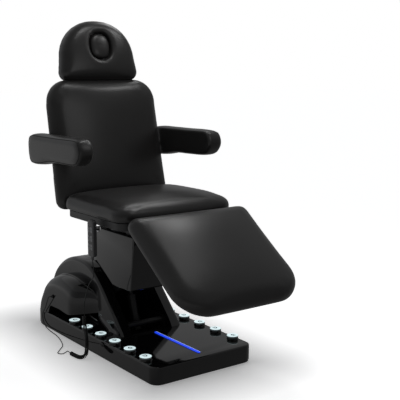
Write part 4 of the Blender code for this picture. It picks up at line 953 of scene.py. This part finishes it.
def make_strip():
    low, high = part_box("light_strip")
    half = 0.5 * (high.y - low.y)
    rings = []
    for step, z in ((0.0, low.z), (0.0, high.z - 0.0015), (0.0006, high.z - 0.0005),
                    (0.0015, high.z), (0.0028, high.z)):
        ring = rounded(low.x + step, high.x - step, half - step,
                       ((half - step) * 0.98,) * 2, 6)
        rings.append(level(ring, z))
    bm = loft(rings)
    for face in bm.faces:
        face.material_index = 1 if face.calc_center_median().y > 0.55 * half else 0
    strip = piece("lit_strip", bm, ("blue_lens", "strip_edge"))
    attach(strip, "base", "blue_lens", "light_strip")


def housing_outline(steps):
    """The shells' side outline: a rounded rear and top, then a slope down to the deck."""
    rear, top = HOUSING_REAR, HOUSING_TOP
    upper = bend(((rear + 0.001, HOUSING_LOW), (rear - 0.001, 0.125), (rear + 0.014, 0.192),
                  (rear + 0.058, 0.268), (rear + 0.140, top - 0.042), (rear + 0.225, top - 0.008),
                  (rear + 0.300, top), (TOP_COVER_END, top - 0.004), (-0.140, top - 0.020),
                  (-0.096, 0.328), (-0.030, 0.272)), steps)
    foot = [(HOUSING_FOOT - 0.010, 0.098), (HOUSING_FOOT, HOUSING_LOW)]
    return [(p.x, p.y) for p in upper] + foot


def fender_upper(steps):
    """The side bulge's upper edge, from its rear to its front."""
    return bend(((HOUSING_REAR + 0.004, HOUSING_LOW), (HOUSING_REAR + 0.024, 0.125),
                 (-0.494, 0.180), (-0.448, 0.232), (-0.386, 0.272), (-0.300, 0.294),
                 (-0.190, 0.290), (-0.105, 0.256), (-0.058, 0.205), (-0.040, 0.150)), steps)


def fender_outline(steps, scale, tuck):
    """The side bulge's outline, shrunk towards its lower rear and tucked in at the rear corner."""
    centre = Vector((FENDER_CENTRE, HOUSING_LOW))
    lower = bend(((-0.040, 0.150), (-0.100, 0.150), (-0.190, 0.158), (-0.290, 0.156),
                  (-0.360, 0.148), (-0.395, HOUSING_LOW + 0.004)), steps)[1:]
    out = []
    for p in fender_upper(steps) + lower + [centre]:
        q = centre + (p - centre) * scale
        if p.x < centre.x:
            q.x += tuck * ((centre.x - p.x) / (centre.x - HOUSING_REAR)) ** 2
        out.append((q.x, max(q.y, HOUSING_LOW)))
    return out


def faded(y, x):
    """The side bulge's place across the bed, run out into the shell's flank at the front."""
    kept = 1 - 0.96 * ease(x, -0.170, -0.050)
    return SHELL_HALF - 0.004 + (y - SHELL_HALF + 0.004) * kept


def drawn_in(outline, step):
    """An outline on the deck, shrunk evenly towards the middle of its foot."""
    rear, front = min(p[0] for p in outline), max(p[0] for p in outline)
    middle = 0.5 * (rear + front)
    wide = 1 - step / (front - middle)
    tall = 1 - step / (max(p[1] for p in outline) - HOUSING_LOW)
    return [(middle + (x - middle) * wide, HOUSING_LOW + (z - HOUSING_LOW) * tall)
            for x, z in outline]


def side_ring(outline, side, y):
    """An outline in X and Z on one side of the bed."""
    return [(x, side * y, z) for x, z in outline]


def fender_ring(outline, side, y):
    """The same, run out into the shell's flank at the front."""
    return [(x, side * faded(y, x), z) for x, z in outline]


def fender_bulge(side, steps):
    """The side bulge, shrinking outwards and tucked in round the base's rear corner."""
    corner = BASE_RADII[0]
    rings = []
    for y, scale in ((FENDER_LIP - 0.008, 0.985), (FENDER_LIP + 0.008, 0.980),
                     (FENDER_LIP + 0.020, 0.965), (FENDER_LIP + 0.032, 0.944),
                     (FENDER_LIP + 0.042, 0.915), (FENDER_HALF - 0.016, 0.876),
                     (FENDER_HALF - 0.009, 0.830), (FENDER_HALF - 0.005, 0.780),
                     (FENDER_HALF - 0.002, 0.720), (FENDER_HALF - 0.0006, 0.660),
                     (FENDER_HALF, 0.600)):
        over = max(y - (BASE_HALF[1] - corner), 0.0)
        tuck = corner - math.sqrt(max(corner ** 2 - over ** 2, 0.0))
        shift = (FENDER_CENTRE - HOUSING_REAR) * (1 - scale)
        outline = fender_outline(steps, scale, max(tuck - shift, 0.0))
        rings.append(fender_ring(outline, side, y))
    return loft(rings)


def make_housing():
    steps, turns = 8, 7
    radius, wall = 0.020, 0.006
    outline = housing_outline(steps)
    flank = [(p.x, p.y) for p in fender_upper(steps)]
    flank += [(x, HOUSING_LOW) for x in (-0.052, -0.20, -0.40)]
    for side, label in SIDES:
        rings = [side_ring(drawn_in(outline, 0.002), side, SLOT_HALF),
                 side_ring(outline, side, SLOT_HALF + 0.002)]
        for i in range(turns + 1):
            a = math.radians(90 * i / turns)
            rings.append(side_ring(drawn_in(outline, radius * (1 - math.cos(a))), side,
                                   SHELL_HALF - radius * (1 - math.sin(a))))
        shell = piece(f"housing_{label}", loft(rings), "gloss_shell")
        carve(shell, loft([fender_ring(drawn_in(flank, step), side, y)
                           for y, step in ((SHELL_HALF - 0.03, 0.0), (FENDER_LIP, 0.0),
                                           (0.2005, 0.0012), (0.203, 0.003))]), "UNION")
        carve(shell, fender_bulge(side, steps), "UNION")
        hollow = [(x, z if z > HOUSING_LOW + 0.001 else HOUSING_LOW - 0.02)
                  for x, z in drawn_in(outline, wall)]
        carve(shell, swept(hollow, sorted((side * (SLOT_HALF + wall), side * (SHELL_HALF - wall)))))
        if side < 0:
            carve(shell, bar((GROMMET[0], -0.145, GROMMET[1]),
                             (GROMMET[0], -0.28, GROMMET[1]), 0.0056))
        shade(shell, SHARP_HOUSING)
        attach(shell, "base", "gloss_shell", f"housing_shell_{label}")

    over = [p for p in outline if p[0] <= TOP_COVER_END + 0.001]
    under = inset(outline, wall)[:len(over)]
    skin = over + [(x, max(z, HOUSING_LOW)) for x, z in reversed(under)]
    half = SLOT_HALF - 0.0006
    top = piece("housing_bridge", swept(skin, (-half, half)), "gloss_shell")
    attach(top, "base", "gloss_shell", "housing_top_cover")

    section = ((0.0053, 0.030), (0.0053, -0.0125), (0.0080, -0.0130), (0.0085, -0.0140),
               (0.0085, -0.0170), (0.0072, -0.0180), (0.0030, -0.0180), (0.0030, 0.020))
    spot = Matrix.Translation((GROMMET[0], -FENDER_HALF + 0.012, GROMMET[1]))
    grommet = piece("grommet", collar((0.0, 0.0), section, 24), "cord_rubber",
                    spot @ Matrix.Rotation(math.radians(-90), 4, "X"))
    attach(grommet, "base", "cord_rubber", "cord_grommet")


def make_lift():
    half, wall = 0.1038, 0.003
    low, high = (0.165, -half, -0.117), (0.440, half, 0.046)
    cover = piece("arm_cover", block(low, high), "gloss_shell", LIFT)
    soften(cover, 0.010, 5)
    cavity = block((low[0] - 0.02, -half + wall, low[2] - 0.02),
                   (high[0] + 0.02, half - wall, high[2] - wall))
    cavity.transform(LIFT)
    carve(cover, cavity)
    shade(cover, SHARP_COVER)
    attach(cover, "lift_arm", "gloss_shell", "lift_arm_cover")
    dress("dark_steel", "lift_frame", "lift_arm", "tie_link")
    dress("bright_steel", "lower_pivot_shaft", "upper_pivot_shaft")
    dress("dark_plastic", "lift_actuator_tube", "lift_actuator_rod")


def make_carrier():
    half, wall = 0.190, 0.004
    top, bottom = 0.572, 0.325
    rear, front_top, front_low = -0.040, 0.298, 0.270
    side_view = ((rear, top), (rear + 0.006, top - 0.160), (0.112, bottom - 0.002),
                 (0.150, bottom - 0.004), (front_low, bottom), (front_top, top))
    box = piece("carrier_shell", swept(side_view, (-half, half)), "gloss_shell")
    soften(box, 0.007, 5)
    inner = ((rear - 0.30, top - wall), (rear - 0.30, bottom - 0.10), (0.190, bottom - 0.10),
             (0.196, bottom + wall), (front_low - wall, bottom + wall),
             (front_top - wall, top - wall))
    carve(box, swept(inner, (-half + wall, half - wall)))
    carve(box, block((rear - 0.05, -0.135, top - 0.02), (front_top - 0.03, 0.135, top + 0.02)))
    carve(box, block((0.26, 0.036, 0.520), (0.33, 0.080, 0.564)))
    pivots = ((ARM_TOP.x, ARM_TOP.z, 0.030, 0.0105),
              (ARM_TOP.x + 0.030, ARM_TOP.z - 0.085, 0.022, 0.0095))
    for side in (-1, 1):
        for x, z, boss_radius, hole_radius in pivots:
            carve(box, bar((x, side * (half - wall - 0.012), z),
                           (x, side * (half - wall + 0.001), z), boss_radius, 40), "UNION")
            carve(box, bar((x, side * 0.15, z), (x, side * (half - 0.002), z), hole_radius))
    shade(box, SHARP_COVER)
    attach(box, "carrier", "gloss_shell", "carrier_cover")

    tray = []
    for step, z in ((0.010, 0.618), (0.006, 0.6184), (0.003, 0.6198), (0.001, 0.6222),
                    (0.0, 0.6250), (0.0, 0.6500), (0.0010, 0.6513), (0.0020, 0.6516)):
        ring = rounded(-0.110 + step, 0.362 - step, 0.292 - step, (0.030 - step, 0.050 - step))
        tray.append(level(ring, z))
    board = piece("seat_board", loft(tray), "dark_plastic")
    carve(board, block((-0.13, -0.0795, 0.608), (-0.052, -0.0365, 0.636)))
    shade(board, SHARP_COVER)
    attach(board, "carrier", "dark_plastic", "seat_tray")
    dress("dark_steel", "seat_frame", "leg_frame")
    dress("bright_steel", "back_hinge_shaft", "handset_hook",
          "back_actuator_rod", "leg_actuator_rod")
    dress("dark_plastic", "back_actuator_tube", "leg_actuator_tube")


def make_back_shell():
    rear, wall = -0.0363, 0.004

    def rim(step, x):
        ring = rounded(0.002 + step, 0.568 - step, 0.289 - step,
                       (max(0.060 - step, 0.02), max(0.110 - step, 0.02)))
        return [(x, y, z) for z, y in ring]

    deep = ((0.0, 0.0), (0.0004, 0.010), (0.002, 0.014), (0.010, 0.025), (0.020, 0.035),
            (0.030, 0.042), (0.050, 0.0510), (0.075, 0.056), (0.105, 0.059), (0.140, 0.060))
    dish = piece("back_shell", loft([rim(step, rear - d) for step, d in deep]), "gloss_shell")
    carve(dish, loft([rim(wall, rear + 0.01), rim(wall, rear - 0.0125),
                      rim(0.030 + wall, rear - 0.038), rim(0.075 + wall, rear - 0.052),
                      rim(0.140, rear - 0.056)]))
    carve(dish, block((rear - 0.10, -0.205, -0.078), (rear + 0.02, 0.205, 0.040)))
    holes = []
    for side in (-1, 1):
        holes.append(bar((ARMREST_PIVOT[0], side * 0.22, ARMREST_PIVOT[1]),
                         (ARMREST_PIVOT[0], side * 0.40, ARMREST_PIVOT[1]), 0.012))
        holes.append(bar((-0.0493, side * 0.090, 0.48), (-0.0493, side * 0.090, 0.62), 0.008))
    carve(dish, merged(holes))
    dish.data.transform(BACK)
    shade(dish, SHARP_COVER)
    attach(dish, "back", "gloss_shell", "back_cover")
    dress("dark_steel", "back_frame")
    dress("bright_steel", "head_frame", "armrest_bracket_right", "armrest_bracket_left")


def make_handset():
    low, high = HANDSET_Z
    half, deep = HANDSET_SIZE[0] / 2, HANDSET_SIZE[1] / 2
    face, back = HANDSET_Y - deep, HANDSET_Y + deep
    rings = []
    for y, step in ((face, 0.0060), (face + 0.0004, 0.0036), (face + 0.0015, 0.0014),
                    (face + 0.003, 0.0), (back - 0.003, 0.0), (back - 0.001, 0.001),
                    (back, 0.003)):
        ring = rounded(low + step, high - step, half - step, (0.012, 0.016), 8)
        rings.append([(HANDSET_X + b, y, a) for a, b in ring])
    body = piece("hand_control", loft(rings), "grey_plastic")
    hanger = block((HANDSET_X - 0.005, back - 0.002, 0.5998),
                   (HANDSET_X + 0.005, back + 0.030, 0.6060))
    carve(body, hanger, "UNION")
    relief = bar((HANDSET_X, HANDSET_Y, low + 0.003), (HANDSET_X, HANDSET_Y, low - 0.016),
                 0.0075, second=0.0045)
    carve(body, relief, "UNION")
    keys = [(HANDSET_X + (k % 2 - 0.5) * 0.022, high - 0.042 - (k // 2) * 0.038)
            for k in range(6)]
    carve(body, merged([block((x - 0.0095, face - 0.01, z - 0.0135),
                              (x + 0.0095, face + 0.005, z + 0.0135)) for x, z in keys]))
    shade(body, SHARP_COVER)
    attach(body, "carrier", "grey_plastic", "handset")
    for k, (x, z) in enumerate(keys):
        rings = []
        for y, step in ((0.0035, 0.0), (-0.0006, 0.0), (-0.0013, 0.0004), (-0.0017, 0.0012),
                        (-0.0018, 0.003)):
            ring = rounded(-0.009 + step, 0.009 - step, 0.013 - step, (0.003, 0.003), 5)
            rings.append([(x + a, face + y, z + b) for a, b in ring])
        up = 1 if k % 2 else -1
        mark = loft([[(x + a, face + y, z + up * b)
                      for a, b in ((-0.004, -0.002), (0.0, 0.004), (0.004, -0.002))]
                     for y in (-0.0021, -0.0016)])
        for side in mark.faces:
            side.material_index = 1
        key = piece(f"hand_key_{k + 1}", merged([loft(rings), mark]), ("pale_key", "mark"))
        attach(key, f"handset_key_{k + 1}", "pale_key", f"handset_key_{k + 1}")


def even(points, spacing):
    """The same line with points at even distances."""
    pts = [Vector(p) for p in points]
    lengths = [0.0]
    for a, b in zip(pts, pts[1:]):
        lengths.append(lengths[-1] + (b - a).length)
    count = max(int(round(lengths[-1] / spacing)), 2)
    out = []
    k = 0
    for i in range(count + 1):
        want = lengths[-1] * i / count
        while k < len(pts) - 2 and lengths[k + 1] < want:
            k += 1
        u = (want - lengths[k]) / max(lengths[k + 1] - lengths[k], 1e-9)
        out.append(pts[k].lerp(pts[k + 1], min(max(u, 0.0), 1.0)))
    return out


def coil(path):
    """A helix about a line, drawn out straight at both ends."""
    line = even(path, 0.001)
    count = bpy.context.scene.bed_sizes.curls * CURL_POINTS
    lead = 3 * CORD_R
    total = line_length(line)
    step = total / (len(line) - 1)
    side = (line[1] - line[0]).orthogonal().normalized()
    sides = []
    for i in range(len(line)):
        way = (line[min(i + 1, len(line) - 1)] - line[max(i - 1, 0)]).normalized()
        side = (side - way * side.dot(way)).normalized()
        sides.append((way, side.copy()))
    open_up = [ease(min(i, count - i) / CURL_POINTS, 0.0, 1.0) for i in range(count + 1)]
    strides = [1 + END_STRIDE * (1 - grown) for grown in open_up[:-1]]
    stretch = (total - 2 * lead) / sum(strides)
    points = [line[0]]
    for i in range(count + 1):
        want = (lead + stretch * sum(strides[:i])) / step
        k = min(int(want), len(line) - 2)
        way, side = sides[k]
        centre = line[k].lerp(line[k + 1], want - k)
        r = COIL_R * open_up[i]
        a = 2 * math.pi * i / CURL_POINTS
        points.append(centre + side * (r * math.cos(a)) + way.cross(side) * (r * math.sin(a)))
    points.append(line[-1])
    return points


def make_cord():
    start = Vector((HANDSET_X, HANDSET_Y, HANDSET_Z[0] - 0.0163))
    top = Vector((0.062, -0.312, 0.214))
    upper = bend((start, start + Vector((0.001, 0.0, -0.010)), (0.180, -0.324, 0.425),
                  (0.172, -0.322, 0.390), (0.125, -0.318, 0.346), (0.082, -0.314, 0.275),
                  top + Vector((0.001, 0.0, 0.012)), top), 8)
    turn_in = top - Vector((0.0, 0.0, 0.0003))
    floor = COIL_R + CORD_R + CORD_OFF_FLOOR
    end = Vector((0.000, -0.360, floor))
    curls = bend((turn_in, turn_in - Vector((0.0, 0.0, 0.012)), (0.066, -0.311, 0.150),
                  (0.076, -0.309, 0.095), (0.092, -0.316, 0.045), (0.106, -0.332, floor + 0.008),
                  (0.094, -0.352, floor), (0.050, -0.360, floor),
                  end + Vector((0.012, 0.0, 0.0)), end), 12)
    mouth = Vector((GROMMET[0], -FENDER_HALF - 0.0063, GROMMET[1]))
    low = CORD_R + CORD_OFF_FLOOR
    side = -BASE_HALF[1] - CORD_R - 0.0025
    lower = bend((end - Vector((0.0006, 0.0, 0.0)), end - Vector((0.012, 0.0, 0.0)),
                  (-0.020, -0.366, low), (-0.012, -0.388, low), (-0.034, -0.398, low),
                  (-0.066, -0.372, low), (-0.122, -0.328, low), (-0.240, -0.292, low),
                  (-0.350, -0.280, low), (-0.415, side - 0.004, 0.012), (-0.448, side, 0.042),
                  (-0.442, side, 0.075), (-0.408, side - 0.002, 0.112),
                  (-0.360, side - 0.010, 0.170), mouth - Vector((0.002, 0.008, 0.0)), mouth), 8)
    line = even(upper, 0.006) + coil(curls)[1:] + even(lower, 0.006)[1:]
    length = line_length(line)
    cord = piece("handset_cord", tube_mesh(line, CORD_R, 8), "cord_rubber")
    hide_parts("cord_upper", "cord_coil", "cord_lower")
    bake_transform(cord)


def lamp(name, spot, aim, size, power):
    """An oblong lamp that faces a point."""
    light = bpy.data.lights.new(name, "AREA")
    light.shape = "RECTANGLE"
    light.size, light.size_y = size
    light.energy = power
    made = bpy.data.objects.new(name, light)
    made.location = spot
    made.rotation_euler = (Vector(aim) - Vector(spot)).to_track_quat("-Z", "Y").to_euler()
    made.visible_camera = False
    bpy.context.scene.collection.objects.link(made)


def sky(way, strength, width):
    """A broad even light from far away."""
    light = bpy.data.lights.new("sky", "SUN")
    light.energy = strength
    light.angle = width
    made = bpy.data.objects.new("sky", light)
    made.rotation_euler = Vector(way).to_track_quat("Z", "Y").to_euler()
    bpy.context.scene.collection.objects.link(made)


def bounded(field):
    """A field held between 0 and 1."""
    return field.at_least(0.0).at_most(1.0)


def make_stage():
    scene = bpy.context.scene
    setup = scene.bed_stage
    scene.view_settings.view_transform = "Standard"

    # Camera
    lens = bpy.data.cameras.new("camera")
    lens.sensor_width = 36.0
    lens.lens = setup.lens
    lens.shift_x, lens.shift_y = setup.shift
    camera = bpy.data.objects.new("camera", lens)
    camera.location = setup.spot
    camera.rotation_euler = setup.turn
    scene.collection.objects.link(camera)
    scene.camera = camera

    # World: dim all round, brighter from the near side and the foot end, white to the camera
    world = bpy.data.worlds.new("studio")
    world.use_nodes = True
    world.node_tree.nodes.clear()
    air = Nodes(world.node_tree)

    def glow(strength):
        return air.node("ShaderNodeBackground", None, {"Color": AIR_COLOUR, "Strength": strength})

    def toward(way):
        along = air.node("ShaderNodeVectorMath", {"operation": "DOT_PRODUCT"},
                         {0: air.node("ShaderNodeTexCoord", output="Generated"), 1: way}, "Value")
        return bounded(along) ** 2.0

    room = air.mixed(toward(NEAR_SIDE), glow(setup.ambient), glow(setup.side_light))
    room = air.mixed(toward(FOOT_END), room, glow(setup.foot_light))
    white = air.node("ShaderNodeBackground", None, {"Color": (*WHITE, 1.0), "Strength": 1.0})
    surface = air.mixed(air.seen(setup.mirror_share), room, white)
    air.node("ShaderNodeOutputWorld", None, {"Surface": surface}, None)
    scene.world = world

    # Floor: paper that lights itself up to white away from the base, with a painted shadow where
    # its glow darkens near the base, and mirrors as a duller one with painted shade near the bed
    paper = Finish("paper", Specular_IOR_Level=0.0, Roughness=0.9,
                   Emission_Strength=setup.floor_lift)
    fibre = paper.noise(30.0, 3.0)
    x, y = (paper.node("ShaderNodeSeparateXYZ", None, {0: paper.spot()}, axis) for axis in "XY")
    # Painted shadow: the floor's own glow darkens towards the base's footprint, over about a third
    # of a metre
    aside = [(abs(p) - half).at_least(0.0) for p, half in zip((x, y), BASE_HALF)]
    away = (aside[0] ** 2 + aside[1] ** 2) ** 0.5
    paper.set(Base_Color=paper.blend(fibre, (0.90, 0.90, 0.905), (0.92, 0.92, 0.92)),
              Emission_Color=paper.blend(bounded(away * 3.0), tone(WHITE, 0.34), WHITE))
    # Painted shade in reflections: the floor mirrors dull next to the bed and brighter towards the
    # near side
    dull, bright = (paper.node("ShaderNodeEmission", None, {"Strength": amount})
                    for amount in (0.26, 0.20 + setup.side_light))
    mirrored = paper.mixed(bounded((-1.0 * y - 0.28) * 0.8), dull, bright)
    plain = Field(paper.tree, paper.shader.outputs[0])
    connect(paper.tree.nodes["Material Output"].inputs["Surface"],
            paper.mixed(paper.seen(0.0), mirrored, plain))
    mesh = bpy.data.meshes.new("floor")
    corners = ((-1, -1), (1, -1), (1, 1), (-1, 1))
    mesh.from_pydata([(FLOOR_HALF * a, FLOOR_HALF * b, FLOOR_Z) for a, b in corners], [],
                     [(0, 1, 2, 3)])
    mesh.materials.append(paper.material)
    floor = bpy.data.objects.new("floor", mesh)
    scene.collection.objects.link(floor)

    sky((0.0, 0.0, 1.0), setup.sky, setup.sky_width)
    for name, (spot, aim, size) in LAMPS.items():
        lamp(name, spot, aim, size, getattr(setup, name))


class BedFinishes(bpy.types.PropertyGroup):
    """Colours of the bed's finishes."""

    hide: bpy.props.FloatVectorProperty(
        name="Upholstery", description="Colour of the leatherette",
        default=(0.0090, 0.0086, 0.0084), subtype="COLOR", min=0.0, max=1.0)
    shell: bpy.props.FloatVectorProperty(
        name="Shell", description="Colour of the gloss covers",
        default=(0.0045, 0.0045, 0.0048), subtype="COLOR", min=0.0, max=1.0)
    steel: bpy.props.FloatVectorProperty(
        name="Frame", description="Colour of the powder coat",
        default=(0.010, 0.010, 0.0105), subtype="COLOR", min=0.0, max=1.0)
    plate: bpy.props.FloatVectorProperty(
        name="Bright plate", description="Colour of shafts and posts",
        default=(0.62, 0.62, 0.63), subtype="COLOR", min=0.0, max=1.0)
    plastic: bpy.props.FloatVectorProperty(
        name="Dark plastic", description="Colour of the tray and actuators",
        default=(0.0085, 0.0085, 0.0088), subtype="COLOR", min=0.0, max=1.0)
    handset: bpy.props.FloatVectorProperty(
        name="Handset", description="Colour of the handset's case",
        default=(0.034, 0.034, 0.035), subtype="COLOR", min=0.0, max=1.0)
    key: bpy.props.FloatVectorProperty(
        name="Keys", description="Colour of the handset's keys",
        default=(0.12, 0.12, 0.123), subtype="COLOR", min=0.0, max=1.0)
    rubber: bpy.props.FloatVectorProperty(
        name="Cord", description="Colour of the handset's cord",
        default=(0.008, 0.008, 0.008), subtype="COLOR", min=0.0, max=1.0)
    button_glow: bpy.props.FloatVectorProperty(
        name="Button light", description="Colour of the lit foot buttons",
        default=(0.80, 0.97, 1.0), subtype="COLOR", min=0.0, max=1.0)
    strip_glow: bpy.props.FloatVectorProperty(
        name="Strip light", description="Colour of the lit strip",
        default=(0.012, 0.06, 0.90), subtype="COLOR", min=0.0, max=1.0)


class BedSizes(bpy.types.PropertyGroup):
    """Sizes of the bed's soft pieces."""

    seat_crown: bpy.props.FloatProperty(
        name="Seat crown", description="How far the seat's middle rises over its edge",
        default=0.024, min=0.0, unit="LENGTH")
    leg_crown: bpy.props.FloatProperty(
        name="Leg rest crown", description="How far the leg rest's middle rises over its edge",
        default=0.023, min=0.0, unit="LENGTH")
    back_crown: bpy.props.FloatProperty(
        name="Back crown", description="How far the back's middle rises over its edge",
        default=0.026, min=0.0, unit="LENGTH")
    head_crown: bpy.props.FloatProperty(
        name="Head pad crown", description="How far the head pad's middle rises over its edge",
        default=0.019, min=0.0, unit="LENGTH")
    welt: bpy.props.FloatProperty(
        name="Welt", description="Radius of the welt round each armrest",
        default=0.0018, min=0.0, unit="LENGTH")
    curls: bpy.props.IntProperty(
        name="Curls", description="How many curls the handset's cord has", default=52, min=4)


class BedStage(bpy.types.PropertyGroup):
    """Camera and light of the stage."""

    spot: bpy.props.FloatVectorProperty(
        name="Camera place", description="Where the camera stands",
        default=(3.2069, -2.0192, 1.2827), subtype="TRANSLATION", unit="LENGTH")
    turn: bpy.props.FloatVectorProperty(
        name="Camera turn", description="The camera's Euler angles",
        default=tuple(math.radians(a) for a in (80.91, 0.0, 54.09)),
        subtype="EULER", unit="ROTATION")
    lens: bpy.props.FloatProperty(
        name="Lens", description="Focal length in millimetres", default=73.197)
    shift: bpy.props.FloatVectorProperty(
        name="Shift", description="The lens's shift", size=2, default=(0.0353, 0.00205))
    ambient: bpy.props.FloatProperty(
        name="Ambient", description="Strength of the light from all round",
        default=0.10, min=0.0)
    mirror_share: bpy.props.FloatProperty(
        name="Mirrored background", subtype="FACTOR", default=0.23, min=0.0, max=1.0,
        description="How much of the white background reflections take")
    floor_lift: bpy.props.FloatProperty(
        name="Floor lift", description="Light that the floor adds of its own",
        default=0.74, min=0.0)
    side_light: bpy.props.FloatProperty(
        name="Side light", description="Light that comes from the near side",
        default=0.48, min=0.0)
    foot_light: bpy.props.FloatProperty(
        name="Foot light", description="Light that comes from the foot end",
        default=0.12, min=0.0)
    sky: bpy.props.FloatProperty(
        name="Sky", description="Strength of the broad light from above",
        default=0.42, min=0.0)
    sky_width: bpy.props.FloatProperty(
        name="Sky width", description="How wide the light from above is",
        default=math.radians(128.0), unit="ROTATION")
    key: bpy.props.FloatProperty(
        name="Key lamp", description="Power of the lamp over the seat",
        default=3.3, unit="POWER")
    rim: bpy.props.FloatProperty(
        name="Rim lamp", description="Power of the lamp behind the back",
        default=2.2, unit="POWER")
    top: bpy.props.FloatProperty(
        name="Top lamp", description="Power of the small lamp overhead",
        default=1.8, unit="POWER")
    foot: bpy.props.FloatProperty(
        name="Foot lamp", description="Power of the lamp at the foot end",
        default=1.0, unit="POWER")


class BED_OT_stage(bpy.types.Operator):
    """Sets the camera, the lamps, the world and the floor"""

    bl_idname = "bed.stage"
    bl_label = "Stage"

    def execute(self, context):
        make_stage()
        return {"FINISHED"}


class BED_OT_cord(bpy.types.Operator):
    """Draws the handset's cord from the handset to the grommet"""

    bl_idname = "bed.cord"
    bl_label = "Handset Cord"

    def execute(self, context):
        make_cord()
        return {"FINISHED"}


class BED_OT_seat(bpy.types.Operator):
    """Upholsters the seat"""

    bl_idname = "bed.seat"
    bl_label = "Seat"

    def execute(self, context):
        make_seat()
        return {"FINISHED"}


class BED_OT_back(bpy.types.Operator):
    """Upholsters the back"""

    bl_idname = "bed.back"
    bl_label = "Back"

    def execute(self, context):
        make_back()
        return {"FINISHED"}


class BED_OT_head(bpy.types.Operator):
    """Upholsters the head pad and its face plug"""

    bl_idname = "bed.head"
    bl_label = "Head Pad"

    def execute(self, context):
        make_head()
        return {"FINISHED"}


class BED_OT_leg(bpy.types.Operator):
    """Upholsters the leg rest"""

    bl_idname = "bed.leg"
    bl_label = "Leg Rest"

    def execute(self, context):
        make_leg()
        return {"FINISHED"}


class BED_OT_armrests(bpy.types.Operator):
    """Upholsters the armrests"""

    bl_idname = "bed.armrests"
    bl_label = "Armrests"

    def execute(self, context):
        make_armrests()
        return {"FINISHED"}


class BED_OT_base(bpy.types.Operator):
    """Makes the deck with its button bosses"""

    bl_idname = "bed.base"
    bl_label = "Base"

    def execute(self, context):
        make_base()
        return {"FINISHED"}


class BED_OT_buttons(bpy.types.Operator):
    """Makes the lit foot buttons"""

    bl_idname = "bed.buttons"
    bl_label = "Foot Buttons"

    def execute(self, context):
        make_buttons()
        return {"FINISHED"}


class BED_OT_strip(bpy.types.Operator):
    """Makes the lit strip"""

    bl_idname = "bed.strip"
    bl_label = "Light Strip"

    def execute(self, context):
        make_strip()
        return {"FINISHED"}


class BED_OT_housing(bpy.types.Operator):
    """Makes the rear housing, its bridge and the cord grommet"""

    bl_idname = "bed.housing"
    bl_label = "Rear Housing"

    def execute(self, context):
        make_housing()
        return {"FINISHED"}


class BED_OT_lift(bpy.types.Operator):
    """Covers the lift arm and finishes the linkage"""

    bl_idname = "bed.lift"
    bl_label = "Lift"

    def execute(self, context):
        make_lift()
        return {"FINISHED"}


class BED_OT_carrier(bpy.types.Operator):
    """Makes the carrier box and the seat board"""

    bl_idname = "bed.carrier"
    bl_label = "Carrier"

    def execute(self, context):
        make_carrier()
        return {"FINISHED"}


class BED_OT_back_shell(bpy.types.Operator):
    """Makes the shell behind the back"""

    bl_idname = "bed.back_shell"
    bl_label = "Back Shell"

    def execute(self, context):
        make_back_shell()
        return {"FINISHED"}


class BED_OT_handset(bpy.types.Operator):
    """Makes the handset and its keys"""

    bl_idname = "bed.handset"
    bl_label = "Handset"

    def execute(self, context):
        make_handset()
        return {"FINISHED"}


OPERATORS = (BED_OT_stage, BED_OT_cord, BED_OT_seat, BED_OT_back, BED_OT_head, BED_OT_leg,
             BED_OT_armrests, BED_OT_base, BED_OT_buttons, BED_OT_strip, BED_OT_housing,
             BED_OT_lift, BED_OT_carrier, BED_OT_back_shell, BED_OT_handset)


class BED_PT_pieces(bpy.types.Panel):
    """Lists the bed's pieces in the 3D view's sidebar"""

    bl_idname = "BED_PT_pieces"
    bl_label = "Treatment Bed"
    bl_space_type = "VIEW_3D"
    bl_region_type = "UI"
    bl_category = "Bed"

    def draw(self, context):
        scene = context.scene
        for group in (scene.bed_finishes, scene.bed_sizes, scene.bed_stage):
            for key in group.bl_rna.properties.keys():
                if key not in ("rna_type", "name"):
                    self.layout.prop(group, key)
        for operator in OPERATORS:
            self.layout.operator(operator.bl_idname)


CLASSES = (BedFinishes, BedSizes, BedStage, *OPERATORS, BED_PT_pieces)


def register():
    for each in CLASSES:
        bpy.utils.register_class(each)
    bpy.types.Scene.bed_finishes = bpy.props.PointerProperty(type=BedFinishes)
    bpy.types.Scene.bed_sizes = bpy.props.PointerProperty(type=BedSizes)
    bpy.types.Scene.bed_stage = bpy.props.PointerProperty(type=BedStage)


def unregister():
    del bpy.types.Scene.bed_stage
    del bpy.types.Scene.bed_sizes
    del bpy.types.Scene.bed_finishes
    for each in reversed(CLASSES):
        bpy.utils.unregister_class(each)


def main():
    register()
    for step in ("stage", "cord", "seat", "back", "head", "leg", "armrests", "base", "buttons",
                 "strip", "housing", "lift", "carrier", "back_shell", "handset"):
        getattr(bpy.ops.bed, step)()


if __name__ == "__main__":
    main()
